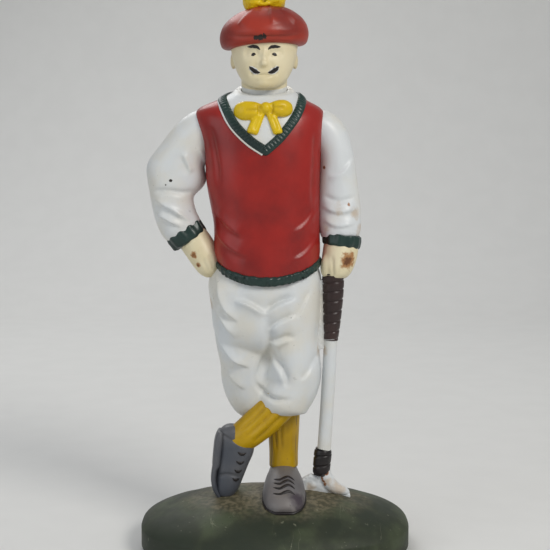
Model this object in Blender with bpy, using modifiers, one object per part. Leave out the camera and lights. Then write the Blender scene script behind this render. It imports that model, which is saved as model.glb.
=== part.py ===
"""Cast-iron golfer coin bank: two hollow casting halves, a nodding head, a thumb lever and a domed base.

Metres, +Z up. The origin is the middle of the base plate's underside and the golfer faces -Y.
"""
import math
from collections import namedtuple

import bmesh
import bpy
from mathutils import Matrix, Vector

for old in list(bpy.data.objects):
    bpy.data.objects.remove(old, do_unlink=True)

# Fits
CLEARANCE = 0.0003
RUNNING_CLEARANCE = 0.0005

# Base
BASE_WIDTH = 0.164
BASE_DEPTH = 0.120
BASE_ROUNDNESS = 2.6
SKIRT_HEIGHT = 0.011
DOME_HEIGHT = 0.0227
DOME_FALL = 0.70
BASE_WALL = 0.004
PLATE_THICKNESS = 0.003
PLATE_INSET = 0.0015
BASE_SCREW_X = 0.050
BASE_SCREW_Y = 0.022
BASE_BOSS_RADIUS = 0.005
SCREW_PAD_DROP = 0.003
SOLE_SINK = 0.002

# Lever and spring
LEVER_WIDTH = 0.008
LEVER_THICKNESS = 0.003
LEVER_HEIGHT = 0.0110
LEVER_OVERHANG = 0.0060
LEVER_TIP = 0.006
PIVOT_Y = 0.020
HUB_RADIUS = 0.0045
LEVER_PIN_RADIUS = 0.002
EAR_THICKNESS = 0.004
EAR_MARGIN = 0.0025
THUMB_LENGTH = 0.007
THUMB_RADIUS = 0.0065
THUMB_THICKNESS = 0.0024
LEVER_DROP = 0.0060
NOTCH_INSIDE = 0.018
SPRING_INSET = 0.016
SPRING_RADIUS = 0.0032
SPRING_WIRE = 0.0008
SPRING_TURNS = 4
SPRING_POINTS = 10
SPRING_POST_RADIUS = 0.0018
SPRING_POST_HEIGHT = 0.0025

# Push rod
ROD_X = 0.0054
ROD_Y = 0.008
ROD_RADIUS = 0.0015

# Figure casting
WALL = 0.004
BODY_ROUNDNESS = 2.4
CAVITY_FLOOR = 0.098
CAVITY_ROOF = 0.226
PILLAR_RADIUS = 0.005
UPPER_SCREW_X = -0.027
UPPER_SCREW_HEIGHT = 0.206
LOWER_SCREW_X = -0.015
LOWER_SCREW_HEIGHT = 0.114
COUNTERBORE = 0.0035
SLOT_X = -0.0075
SLOT_WIDTH = 0.005
SLOT_BOTTOM = 0.174
SLOT_LENGTH = 0.034
CLUB_Y = -0.0072
FOOT_SCREW_Y = -0.012
CROSSED_SCREW_X = -0.030
CROSSED_FOOT_Y = -0.0105
FOOT_SCREW_BITE = 0.010

# Head, cap and pompon
HEAD_X = -0.0064
NECK_RADIUS = 0.0125
NECK_HOLE_MARGIN = 0.0016
NECK_BELOW_PIVOT = 0.013
NECK_TOP = 0.256
COLLAR_HEIGHT = 0.2432
COLLAR_SLOPE = 15.0
PIVOT_HEIGHT = 0.232
NECK_PIN_RADIUS = 0.0017
NECK_PIN_BITE = 0.005
TAIL_WIDTH = 0.018
TAIL_THICKNESS = 0.004
TAIL_OVERHANG = 0.004
CAP_RADIUS = 0.0264
CAP_WIDEST = 0.2765
CAP_TOP = 0.2930
CAP_BRIM = 0.2706
CAP_WALL = 0.004
CAP_PUFF = 2.0
POMPON_RADIUS = 0.0122
POMPON_HEIGHT = 0.0115
STUD_RADIUS = 0.002
STUD_BITE = 0.008
HEAD_PAD_RADIUS = 0.006

# Screws
ScrewSize = namedtuple("ScrewSize", "shank head thickness")
BASE_SCREW = ScrewSize(shank=0.0016, head=0.0036, thickness=0.0019)
BODY_SCREW = ScrewSize(shank=0.0020, head=0.0042, thickness=0.0026)
FOOT_SCREW = ScrewSize(shank=0.0018, head=0.0038, thickness=0.0022)
SCREW_SLOT_WIDTH = 0.0010
SCREW_SLOT_DEPTH = 0.0009
BASE_SCREW_BITE = 0.009

# Facets
BODY_SIDES = 28
LIMB_SIDES = 14
CLUB_SIDES = 10
TURN_STEPS = 20
SCREW_STEPS = 12
DOME_SIDES = 32
DOME_RINGS = 7
DOME_CROWN = 0.7
TRIM_SIDES = 8
KNOB_SIDES = 20

# Sections of the upright forms: height above the soles, sideways middle, half width, and reach from
# the parting plane to the front and to the back
Section = namedtuple("Section", "height middle half_width front back")

VEST = [
    Section(0.1290, -0.0040, 0.0300, 0.0295, 0.0265),
    Section(0.1450, -0.0040, 0.0305, 0.0300, 0.0265),
    Section(0.1630, -0.0050, 0.0314, 0.0290, 0.0260),
    Section(0.1880, -0.0070, 0.0340, 0.0295, 0.0265),
    Section(0.2080, -0.0073, 0.0350, 0.0290, 0.0270),
    Section(0.2240, -0.0088, 0.0385, 0.0265, 0.0260),
    Section(0.2315, -0.0090, 0.0370, 0.0225, 0.0225),
    Section(0.2365, -0.0080, 0.0272, 0.0192, 0.0188),
    Section(0.2410, HEAD_X, 0.0215, 0.0180, 0.0180),
    Section(0.2480, HEAD_X, 0.0178, 0.0172, 0.0172),
]
HIPS = [
    Section(0.0840, -0.0050, 0.0200, 0.0150, 0.0140),
    Section(0.0920, -0.0050, 0.0285, 0.0235, 0.0225),
    Section(0.1000, -0.0052, 0.0322, 0.0275, 0.0270),
    Section(0.1080, -0.0054, 0.0332, 0.0285, 0.0288),
    Section(0.1220, -0.0060, 0.0342, 0.0285, 0.0280),
    Section(0.1285, -0.0060, 0.0342, 0.0273, 0.0265),
    Section(0.1350, -0.0055, 0.0325, 0.0250, 0.0240),
    Section(0.1420, -0.0045, 0.0280, 0.0210, 0.0200),
]
HEAD_BAND = Section(0.2740, HEAD_X, 0.0202, 0.0202, 0.0202)
CROWN = Section(0.2843, HEAD_X, HEAD_PAD_RADIUS, HEAD_PAD_RADIUS, HEAD_PAD_RADIUS)
SKULL = [
    Section(0.2440, HEAD_X, 0.0075, 0.0185, 0.0010),
    Section(0.2480, HEAD_X, 0.0125, 0.0205, 0.0080),
    Section(0.2560, HEAD_X, 0.0170, 0.0212, 0.0150),
    Section(0.2660, HEAD_X, 0.0195, 0.0207, 0.0185),
    HEAD_BAND,
    Section(0.2790, HEAD_X, 0.0190, 0.0190, 0.0190),
    Section(0.2825, HEAD_X, 0.0140, 0.0140, 0.0140),
    CROWN,
]
SHOE_DEPTH = 0.0088
CROSSED_SHOE = [
    Section(height, middle, half_width, SHOE_DEPTH - CROSSED_FOOT_Y, SHOE_DEPTH + CROSSED_FOOT_Y)
    for height, middle, half_width in (
        (-0.0040, -0.0305, 0.0050), (0.0030, -0.0300, 0.0078), (0.0080, -0.0290, 0.0092),
        (0.0180, -0.0268, 0.0108), (0.0260, -0.0246, 0.0120), (0.0330, -0.0245, 0.0115),
        (0.0400, -0.0262, 0.0085), (0.0440, -0.0265, 0.0040),
    )
]

# Stations of the limbs: sideways, depth, height above the soles, then the half depth and half breadth
Station = namedtuple("Station", "x y height depth breadth")

ARM_ON_HIP = [
    Station(-0.0360, 0.0000, 0.2230, 0.0110, 0.0110),
    Station(-0.0460, 0.0000, 0.2170, 0.0128, 0.0130),
    Station(-0.0548, 0.0000, 0.2050, 0.0134, 0.0145),
    Station(-0.0592, 0.0000, 0.1930, 0.0134, 0.0192),
    Station(-0.0618, -0.0010, 0.1800, 0.0130, 0.0130),
    Station(-0.0590, -0.0015, 0.1670, 0.0122, 0.0120),
    Station(-0.0540, -0.0020, 0.1575, 0.0108, 0.0112),
    Station(-0.0465, -0.0030, 0.1465, 0.0085, 0.0090),
    Station(-0.0385, -0.0040, 0.1365, 0.0080, 0.0080),
    Station(-0.0335, -0.0040, 0.1315, 0.0050, 0.0050),
]
ARM_WITH_CLUB = [
    Station(0.0240, 0.0000, 0.2230, 0.0110, 0.0100),
    Station(0.0312, 0.0000, 0.2175, 0.0115, 0.0110),
    Station(0.0366, -0.0005, 0.2040, 0.0112, 0.0106),
    Station(0.0377, -0.0010, 0.1850, 0.0110, 0.0122),
    Station(0.0384, -0.0020, 0.1690, 0.0108, 0.0130),
    Station(0.0383, -0.0030, 0.1540, 0.0112, 0.0129),
    Station(0.0388, -0.0045, 0.1460, 0.0105, 0.0106),
    Station(0.0378, -0.0050, 0.1370, 0.0100, 0.0100),
    Station(0.0355, -0.0050, 0.1295, 0.0060, 0.0065),
]
STANDING_TROUSER_LEG = [
    Station(-0.0195, 0.0020, 0.1100, 0.0240, 0.0185),
    Station(-0.0185, 0.0020, 0.0940, 0.0225, 0.0182),
    Station(-0.0160, 0.0025, 0.0800, 0.0210, 0.0177),
    Station(-0.0130, 0.0030, 0.0710, 0.0195, 0.0180),
    Station(-0.0085, 0.0035, 0.0620, 0.0180, 0.0180),
    Station(-0.0045, 0.0045, 0.0540, 0.0165, 0.0175),
    Station(-0.0015, 0.0050, 0.0490, 0.0140, 0.0150),
]
CROSSED_TROUSER_LEG = [
    Station(0.0105, -0.0020, 0.1100, 0.0230, 0.0165),
    Station(0.0105, -0.0020, 0.0960, 0.0225, 0.0162),
    Station(0.0110, -0.0025, 0.0830, 0.0225, 0.0162),
    Station(0.0110, -0.0030, 0.0740, 0.0220, 0.0172),
    Station(0.0100, -0.0030, 0.0660, 0.0205, 0.0165),
    Station(0.0060, -0.0055, 0.0575, 0.0195, 0.0160),
    Station(0.0040, -0.0060, 0.0520, 0.0170, 0.0148),
    Station(0.0035, -0.0060, 0.0485, 0.0120, 0.0110),
]
STANDING_LEG = [
    Station(ROD_X, 0.0060, 0.1000, 0.0100, 0.0100),
    Station(ROD_X, 0.0060, 0.0600, 0.0100, 0.0100),
    Station(ROD_X, 0.0060, 0.0350, 0.0098, 0.0096),
    Station(ROD_X, 0.0055, 0.0110, 0.0095, 0.0092),
]
CROSSED_LEG = [
    Station(0.0060, -0.0100, 0.0600, 0.0108, 0.0110),
    Station(-0.0050, -0.0105, 0.0470, 0.0104, 0.0106),
    Station(-0.0200, CROSSED_FOOT_Y, 0.0345, 0.0092, 0.0095),
]
STANDING_SHOE = [
    Station(ROD_X, 0.0180, 0.0060, 0.0060, 0.0060),
    Station(ROD_X, 0.0150, 0.0065, 0.0088, 0.0095),
    Station(ROD_X, 0.0050, 0.0075, 0.0100, 0.0105),
    Station(ROD_X, -0.0060, 0.0065, 0.0115, 0.0105),
    Station(ROD_X, -0.0170, 0.0030, 0.0130, 0.0100),
    Station(ROD_X, -0.0270, -0.0006, 0.0128, 0.0088),
    Station(ROD_X, -0.0345, -0.0032, 0.0106, 0.0072),
    Station(ROD_X, -0.0385, -0.0055, 0.0060, 0.0042),
]
CLUB = [
    Station(0.0350, CLUB_Y, 0.1380, 0.0062, 0.0066),
    Station(0.0345, CLUB_Y, 0.1180, 0.0060, 0.0060),
    Station(0.0339, CLUB_Y, 0.0950, 0.0045, 0.0040),
    Station(0.0320, CLUB_Y, 0.0600, 0.0045, 0.0041),
    Station(0.0297, CLUB_Y, 0.0280, 0.0046, 0.0042),
    Station(0.0290, CLUB_Y, 0.0240, 0.0055, 0.0054),
    Station(0.0283, CLUB_Y, 0.0120, 0.0055, 0.0054),
]
CLUB_HEAD = [
    Station(0.0285, CLUB_Y, 0.0160, 0.0048, 0.0044),
    Station(0.0340, CLUB_Y, 0.0100, 0.0046, 0.0050),
    Station(0.0400, CLUB_Y, 0.0055, 0.0042, 0.0048),
    Station(0.0450, CLUB_Y, 0.0022, 0.0028, 0.0030),
]
WEB_THICKNESS = 0.0042
WEB_LOW = -0.0110
WEB_EDGE = [
    (0.0140, WEB_LOW), (0.0140, 0.0075), (0.0185, 0.0080), (0.0240, 0.0130), (0.0300, 0.0120),
    (0.0450, 0.0025), (0.0450, WEB_LOW),
]
GRIP_WEB_LEFT = 0.0200
GRIP_WEB_RIGHT = 0.0330
GRIP_WEB_LOW = 0.0700
GRIP_WEB_TOP = 0.1300

# Trim and folds that stand out on the casting
HEM_RISE = 0.0090
HEM_FADE = 0.022
HEM_MIDDLE = -0.005
HEM_HALF = 0.030
HEM_WIDTH = 0.0054
HEM_PROUD = 0.0013
EDGE_HALF_WIDTH = 0.0026
EDGE_HALF_HEIGHT = 0.0020
EDGE_SINK = 0.0008
NECK_V = [
    (-0.0290, 0.2335), (-0.0260, 0.2275), (-0.0214, 0.2204), (-0.0136, 0.2126), (-0.0056, 0.2072),
    (0.0028, 0.2142), (0.0090, 0.2222), (0.0135, 0.2290), (0.0158, 0.2345),
]
NAPE_EDGE = [
    Station(-0.0290, -0.0130, 0.2345, 0.0022, 0.0020),
    Station(-0.0295, -0.0040, 0.2385, 0.0022, 0.0022),
    Station(-0.0265, 0.0075, 0.2390, 0.0022, 0.0022),
    Station(-0.0180, 0.0155, 0.2380, 0.0024, 0.0022),
    Station(HEAD_X, 0.0190, 0.2370, 0.0024, 0.0022),
    Station(0.0050, 0.0155, 0.2380, 0.0024, 0.0022),
    Station(0.0135, 0.0075, 0.2390, 0.0022, 0.0022),
    Station(0.0165, -0.0040, 0.2390, 0.0022, 0.0022),
    Station(0.0160, -0.0130, 0.2350, 0.0022, 0.0020),
]
CUFF_ON_HIP = [
    Station(-0.0557, -0.0020, 0.1606, 0.0092, 0.0104),
    Station(-0.0530, -0.0023, 0.1565, 0.0116, 0.0122),
    Station(-0.0503, -0.0026, 0.1524, 0.0092, 0.0096),
]
CUFF_WITH_CLUB = [
    Station(0.0405, -0.0036, 0.1578, 0.0096, 0.0104),
    Station(0.0399, -0.0039, 0.1536, 0.0117, 0.0120),
    Station(0.0392, -0.0042, 0.1494, 0.0096, 0.0100),
]
TIE_LEFT_LOBE = [
    Station(-0.0070, -0.0240, 0.2326, 0.0028, 0.0026),
    Station(-0.0120, -0.0250, 0.2318, 0.0042, 0.0048),
    Station(-0.0185, -0.0244, 0.2310, 0.0042, 0.0058),
    Station(-0.0234, -0.0222, 0.2308, 0.0030, 0.0046),
    Station(-0.0250, -0.0212, 0.2308, 0.0012, 0.0022),
]
TIE_RIGHT_LOBE = [
    Station(-0.0038, -0.0240, 0.2328, 0.0028, 0.0026),
    Station(0.0010, -0.0250, 0.2326, 0.0042, 0.0046),
    Station(0.0060, -0.0242, 0.2324, 0.0040, 0.0052),
    Station(0.0096, -0.0222, 0.2322, 0.0028, 0.0040),
    Station(0.0110, -0.0212, 0.2322, 0.0012, 0.0020),
]
TIE_LEFT_TAIL = [
    Station(-0.0076, -0.0246, 0.2310, 0.0022, 0.0024),
    Station(-0.0110, -0.0266, 0.2245, 0.0024, 0.0033),
    Station(-0.0140, -0.0284, 0.2170, 0.0020, 0.0034),
]
TIE_RIGHT_TAIL = [
    Station(-0.0034, -0.0246, 0.2310, 0.0022, 0.0024),
    Station(-0.0008, -0.0267, 0.2245, 0.0024, 0.0029),
    Station(0.0016, -0.0284, 0.2170, 0.0020, 0.0028),
]
TIE_KNOT = (-0.0054, -0.0243, 0.2328)
TIE_KNOT_RADII = (0.0039, 0.0045, 0.0039)
FOLD_SINK = 0.0012
FOLD_END = (0.0010, 0.0014)
FOLD_MIDDLE = (0.0028, 0.0036)
FOLDS = [
    [(-0.0340, 0.1290), (-0.0300, 0.1170), (-0.0240, 0.1045)],
    [(-0.0350, 0.1085), (-0.0310, 0.1010), (-0.0240, 0.0935)],
    [(-0.0320, 0.0890), (-0.0255, 0.0810), (-0.0160, 0.0750)],
    [(-0.0230, 0.1180), (-0.0150, 0.1130), (-0.0070, 0.1100)],
    [(0.0130, 0.1185), (0.0040, 0.1135), (-0.0050, 0.1100)],
    [(0.0150, 0.1085), (0.0065, 0.1040), (-0.0015, 0.1010)],
    [(0.0130, 0.0950), (0.0050, 0.0925), (-0.0030, 0.0905)],
    [(-0.0080, 0.0660), (0.0010, 0.0570), (0.0140, 0.0560)],
]

# Levels that follow from the sizes above
RIM = PLATE_THICKNESS + CLEARANCE
SKIRT_TOP = RIM + SKIRT_HEIGHT
SOLES = SKIRT_TOP + DOME_HEIGHT - SOLE_SINK
LEVER_REACH = BASE_DEPTH / 2 + LEVER_OVERHANG
SPRING_Y = BASE_DEPTH / 2 - SPRING_INSET
NECK_BOTTOM = PIVOT_HEIGHT - NECK_BELOW_PIVOT
LEVER_TOP = LEVER_HEIGHT + LEVER_THICKNESS / 2
LEVER_BOTTOM = LEVER_HEIGHT - LEVER_THICKNESS / 2
ROD_BOTTOM = LEVER_TOP + CLEARANCE
ROD_TOP = SOLES + NECK_BOTTOM - CLEARANCE
FAR = 0.6

parts = bpy.data.collections.new("golfer_bank")
cutters = bpy.data.collections.new("golfer_bank_cutters")
bpy.context.scene.collection.children.link(parts)
bpy.context.scene.collection.children.link(cutters)


def finish(name, color, roughness, metallic):
    material = bpy.data.materials.new(name)
    material.use_nodes = True
    shader = material.node_tree.nodes["Principled BSDF"]
    shader.inputs["Base Color"].default_value = (*color, 1.0)
    shader.inputs["Roughness"].default_value = roughness
    shader.inputs["Metallic"].default_value = metallic
    material.diffuse_color = (*color, 1.0)
    return material


WHITE_ENAMEL = finish("white_enamel", (0.62, 0.63, 0.62), 0.38, 0.0)
RED_ENAMEL = finish("red_enamel", (0.33, 0.035, 0.022), 0.35, 0.0)
YELLOW_ENAMEL = finish("yellow_enamel", (0.60, 0.40, 0.015), 0.40, 0.0)
FLESH_ENAMEL = finish("flesh_enamel", (0.68, 0.58, 0.38), 0.42, 0.0)
GREEN_ENAMEL = finish("green_enamel", (0.035, 0.045, 0.022), 0.60, 0.0)
BARE_IRON = finish("bare_iron", (0.16, 0.15, 0.14), 0.55, 1.0)
STEEL = finish("steel", (0.42, 0.42, 0.43), 0.35, 1.0)


def add_object(name, mesh, collection, material=None):
    piece = bpy.data.objects.new(name, mesh)
    collection.objects.link(piece)
    if material:
        mesh.materials.append(material)
    if collection is cutters:
        piece.hide_render = True
        piece.display_type = "WIRE"
    return piece


def mesh_from(name, shape):
    mesh = bpy.data.meshes.new(name)
    shape.to_mesh(mesh)
    shape.free()
    mesh.shade_smooth()
    mesh.set_sharp_from_angle(angle=math.radians(40))
    return mesh


def boolean(target, tool, operation):
    modifier = target.modifiers.new(operation.lower() + "_" + tool.name, "BOOLEAN")
    modifier.operation = operation
    modifier.object = tool
    modifier.solver = "EXACT"


def cut(target, *tools):
    for tool in tools:
        boolean(target, tool, "DIFFERENCE")


def join(target, *tools):
    for tool in tools:
        boolean(target, tool, "UNION")


def block(name, low, high, collection=cutters, material=None):
    """A box from its lowest corner to its highest corner."""
    low, high = Vector(low), Vector(high)
    shape = bmesh.new()
    bmesh.ops.create_cube(shape, size=1.0)
    bmesh.ops.scale(shape, vec=high - low, verts=shape.verts)
    bmesh.ops.translate(shape, vec=(low + high) / 2, verts=shape.verts)
    return add_object(name, mesh_from(name, shape), collection, material)


def rod(name, start, end, radius, collection=cutters, material=None, sides=TURN_STEPS):
    """A round bar between two points."""
    start, end = Vector(start), Vector(end)
    along = end - start
    place = Matrix.Translation((start + end) / 2) @ along.to_track_quat("Z", "Y").to_matrix().to_4x4()
    shape = bmesh.new()
    bmesh.ops.create_cone(shape, cap_ends=True, segments=sides, radius1=radius, radius2=radius,
                          depth=along.length, matrix=place)
    return add_object(name, mesh_from(name, shape), collection, material)


def ellipsoid(name, center, radii, collection=cutters, material=None, floor=None, sides=DOME_SIDES):
    """A stretched sphere, cut flat at a floor height where one is given."""
    shape = bmesh.new()
    bmesh.ops.create_uvsphere(shape, u_segments=sides, v_segments=sides // 2, radius=1.0)
    bmesh.ops.scale(shape, vec=Vector(radii), verts=shape.verts)
    bmesh.ops.translate(shape, vec=Vector(center), verts=shape.verts)
    if floor is not None:
        everything = shape.verts[:] + shape.edges[:] + shape.faces[:]
        bmesh.ops.bisect_plane(shape, geom=everything, plane_co=(0, 0, floor), plane_no=(0, 0, -1),
                               clear_outer=True)
        bmesh.ops.holes_fill(shape, edges=[edge for edge in shape.edges if edge.is_boundary])
    return add_object(name, mesh_from(name, shape), collection, material)


def turned(name, profile, center, collection=cutters, material=None, steps=TURN_STEPS):
    """A turned piece from (radius, height) points that run down its outer side."""
    shape = bmesh.new()
    corners = [shape.verts.new((radius, 0.0, height)) for radius, height in profile]
    closed = profile[0][0] > 0 and profile[-1][0] > 0
    for first, second in zip(corners, corners[1:] + corners[:1] if closed else corners[1:]):
        shape.edges.new((first, second))
    piece = add_object(name, mesh_from(name, shape), collection, material)
    piece.location = center
    screw = piece.modifiers.new("turn", "SCREW")
    screw.axis = "Z"
    screw.steps = screw.render_steps = steps
    screw.use_merge_vertices = True
    screw.merge_threshold = 0.00001
    screw.use_smooth_shade = True
    return piece


def between(rows, spans=2):
    """Rows of numbers with smooth in-between rows on a Catmull-Rom curve."""
    smooth = []
    for index in range(len(rows) - 1):
        a = rows[max(index - 1, 0)]
        b, c = rows[index], rows[index + 1]
        d = rows[min(index + 2, len(rows) - 1)]
        for step in range(spans):
            t = step / spans
            smooth.append([
                0.5 * (2 * q + (r - p) * t + (2 * p - 5 * q + 4 * r - s) * t ** 2
                       + (3 * q - p - 3 * r + s) * t ** 3)
                for p, q, r, s in zip(a, b, c, d)
            ])
    smooth.append(list(rows[-1]))
    return smooth


def around(sides, roundness):
    """Points once round a superellipse of half axes 1."""
    for index in range(sides):
        angle = 2 * math.pi * index / sides
        cosine, sine = math.cos(angle), math.sin(angle)
        yield (math.copysign(abs(cosine) ** (2 / roundness), cosine),
               math.copysign(abs(sine) ** (2 / roundness), sine))


def skin(name, rings, collection=cutters, material=None):
    """A closed loft through rings of points that have as many points each."""
    shape = bmesh.new()
    loops = [[shape.verts.new(point) for point in ring] for ring in rings]
    for lower, upper in zip(loops, loops[1:]):
        for index in range(len(lower)):
            after = (index + 1) % len(lower)
            shape.faces.new((lower[index], lower[after], upper[after], upper[index]))
    shape.faces.new(loops[0])
    shape.faces.new(loops[-1])
    bmesh.ops.recalc_face_normals(shape, faces=shape.faces)
    return add_object(name, mesh_from(name, shape), collection, material)


def upright(name, sections, sides, roundness=2.0, inset=0.0, lowest=-FAR, highest=FAR, spans=2, lift=None):
    """A loft of level sections, drawn in by an inset, kept between two heights and bent by a lift."""
    rows = [row for row in between(sections, spans) if lowest < row[0] < highest]
    for level in (lowest, highest):
        if sections[0].height <= level <= sections[-1].height:
            rows.append(section_at(sections, level))
    rings = []
    for row in sorted(rows, key=lambda item: item[0]):
        height, middle, half_width, front, back = row
        depth_middle, half_depth = (back - front) / 2, (back + front) / 2
        ring = [(middle + (half_width - inset) * u, depth_middle + (half_depth - inset) * v)
                for u, v in around(sides, roundness)]
        rings.append([(x, y, SOLES + height + (lift(x, height) if lift else 0.0)) for x, y in ring])
    return skin(name, rings)


def hem_lift(x, height):
    """How far the vest's lower edge rises towards its sides, fading out above it."""
    aside = min(abs(x - HEM_MIDDLE) / HEM_HALF, 1.0)
    fade = min(max(1 - (height - VEST[0].height - HEM_WIDTH) / HEM_FADE, 0.0), 1.0)
    return HEM_RISE * aside ** 2 * fade


def section_at(sections, height):
    """The level section of a form at one height."""
    rows = between(sections, 8)
    above = next(index for index, row in enumerate(rows) if row[0] >= height)
    low, high = rows[max(above - 1, 0)], rows[above]
    share = (height - low[0]) / (high[0] - low[0]) if high[0] > low[0] else 0.0
    return [p + (q - p) * share for p, q in zip(low, high)]


def surface_y(sections, x, height, side):
    """Depth of a form's surface at one place: side is -1 for the front and +1 for the back."""
    _, middle, half_width, front, back = section_at(sections, height)
    off = min(abs(x - middle) / half_width, 1.0)
    share = (1 - off ** BODY_ROUNDNESS) ** (1 / BODY_ROUNDNESS)
    return (back - front) / 2 + side * (back + front) / 2 * share


def trouser_y(x, height):
    """Depth of the trousers' front surface at one place."""
    depths = [surface_y(HIPS, x, height, -1)] if HIPS[0].height < height < HIPS[-1].height else []
    for leg in (STANDING_TROUSER_LEG, CROSSED_TROUSER_LEG):
        leg_x, leg_y, _, depth, breadth = min(between(leg, 8), key=lambda row: abs(row[2] - height))
        off = abs(x - leg_x) / breadth
        if off < 1:
            depths.append(leg_y - depth * math.sqrt(1 - off ** 2))
    return min(depths)


def limb(name, stations, across, sides=LIMB_SIDES, spans=2):
    """A loft along a path: across is the direction of each station's half depth."""
    rows = between(stations, spans)
    path = [Vector((x, y, SOLES + height)) for x, y, height, _, _ in rows]
    across = Vector(across)
    rings = []
    for index, row in enumerate(rows):
        along = path[min(index + 1, len(path) - 1)] - path[max(index - 1, 0)]
        sideways = along.cross(across).normalized()
        depth, breadth = row[3], row[4]
        rings.append([path[index] + across * depth * u + sideways * breadth * v
                      for u, v in around(sides, 2.0)])
    return skin(name, rings)


def hang(name, axis_point, *pieces):
    """Parent pieces to an empty on their joint's axis, where they are."""
    pivot = bpy.data.objects.new(name, None)
    parts.objects.link(pivot)
    pivot.location = axis_point
    bpy.context.view_layer.update()
    for piece in pieces:
        piece.parent = pivot
        piece.matrix_parent_inverse = pivot.matrix_world.inverted()


def dome_z(x, y, inset):
    """Height of the dome's surface, or of a surface an inset below it."""
    aside = abs(x / (BASE_WIDTH / 2 - inset)) ** BASE_ROUNDNESS
    off = (aside + abs(y / (BASE_DEPTH / 2 - inset)) ** BASE_ROUNDNESS) ** (1 / BASE_ROUNDNESS)
    return SKIRT_TOP + (DOME_HEIGHT - inset) * max(1 - off ** 2, 0.0) ** DOME_FALL


def mound(name, grow, floor, collection=cutters, material=None):
    """The base's form, a straight skirt up from a floor and a dome on it, larger by grow all round."""
    levels = [(floor, 1.0)]
    for index in range(DOME_RINGS):
        angle = math.pi / 2 * math.sin(math.pi / 2 * index / (DOME_RINGS - DOME_CROWN))
        rise = math.sin(angle) ** (2 * DOME_FALL)
        levels.append((SKIRT_TOP + (DOME_HEIGHT + grow) * rise, math.cos(angle)))
    rings = [[((BASE_WIDTH / 2 + grow) * share * u, (BASE_DEPTH / 2 + grow) * share * v, z)
              for u, v in around(DOME_SIDES, BASE_ROUNDNESS)] for z, share in levels]
    return skin(name, rings, collection, material)


def slotted_screw(name, size, seat, direction, length):
    """A slotted screw: the head's underside is at seat and the shank runs along direction."""
    profile = [
        (0.0, size.thickness), (size.head * 0.8, size.thickness), (size.head, size.thickness * 0.6),
        (size.head, 0.0), (size.shank, 0.0), (size.shank, size.shank - length), (0.0, -length),
    ]
    screw = turned(name, profile, seat, parts, STEEL, SCREW_STEPS)
    screw.rotation_mode = "QUATERNION"
    screw.rotation_quaternion = Vector(direction).to_track_quat("-Z", "Y")
    slot = block(name + "_slot", (-size.head * 2, -SCREW_SLOT_WIDTH / 2, size.thickness - SCREW_SLOT_DEPTH),
                 (size.head * 2, SCREW_SLOT_WIDTH / 2, size.thickness * 2))
    slot.parent = screw
    cut(screw, slot)
    return screw


def make_base():
    """The dome casting with its bosses, pivot ears, screw pads, lever notch and rod hole."""
    dome = mound("base_dome", 0.0, RIM, parts, GREEN_ENAMEL)
    hollow = mound("dome_hollow", -BASE_WALL, 0.0)
    for index, (x, y) in enumerate(base_screw_places()):
        cut(hollow, rod(f"base_boss_{index}", (x, y, RIM), (x, y, FAR), BASE_BOSS_RADIUS))
        cut(dome, rod(f"base_screw_hole_{index}", (x, y, 0), (x, y, RIM + BASE_SCREW_BITE + CLEARANCE),
                      BASE_SCREW.shank + CLEARANCE, sides=SCREW_STEPS))
    ear_gap = LEVER_WIDTH / 2 + CLEARANCE
    ear_reach = LEVER_PIN_RADIUS + EAR_MARGIN
    for side in (-1, 1):
        near, far = sorted((ROD_X + side * ear_gap, ROD_X + side * (ear_gap + EAR_THICKNESS)))
        cut(hollow, block(f"pivot_ear_{side}", (near, PIVOT_Y - ear_reach, LEVER_HEIGHT - ear_reach),
                          (far, PIVOT_Y + ear_reach, FAR)))
    for index, (x, y) in enumerate(foot_screw_places()):
        cut(hollow, rod(f"screw_pad_{index}", (x, y, screw_pad_z(x, y)), (x, y, FAR), BASE_BOSS_RADIUS))
        cut(dome, rod(f"foot_hole_{index}", (x, y, 0), (x, y, FAR), FOOT_SCREW.shank + CLEARANCE,
                      sides=SCREW_STEPS))
    cut(dome, hollow)
    half_pin = ear_gap + EAR_THICKNESS + CLEARANCE
    cut(dome, rod("lever_pin_hole", (ROD_X - half_pin, PIVOT_Y, LEVER_HEIGHT),
                  (ROD_X + half_pin, PIVOT_Y, LEVER_HEIGHT), LEVER_PIN_RADIUS + CLEARANCE))
    notch = LEVER_WIDTH / 2 + RUNNING_CLEARANCE
    cut(dome, block("lever_notch", (ROD_X - notch, BASE_DEPTH / 2 - NOTCH_INSIDE, LEVER_BOTTOM - LEVER_DROP),
                    (ROD_X + notch, BASE_DEPTH, LEVER_TOP + RUNNING_CLEARANCE)))
    cut(dome, rod("rod_hole", (ROD_X, ROD_Y, LEVER_TOP), (ROD_X, ROD_Y, SOLES + CAVITY_FLOOR),
                  ROD_RADIUS + RUNNING_CLEARANCE, sides=SCREW_STEPS))


def base_screw_places():
    return [(x, y) for y in (-BASE_SCREW_Y, BASE_SCREW_Y) for x in (-BASE_SCREW_X, BASE_SCREW_X)]


def foot_screw_places():
    return [(ROD_X, FOOT_SCREW_Y), (CROSSED_SCREW_X, CROSSED_FOOT_Y)]


def screw_pad_z(x, y):
    return dome_z(x, y, BASE_WALL) - SCREW_PAD_DROP


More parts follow.
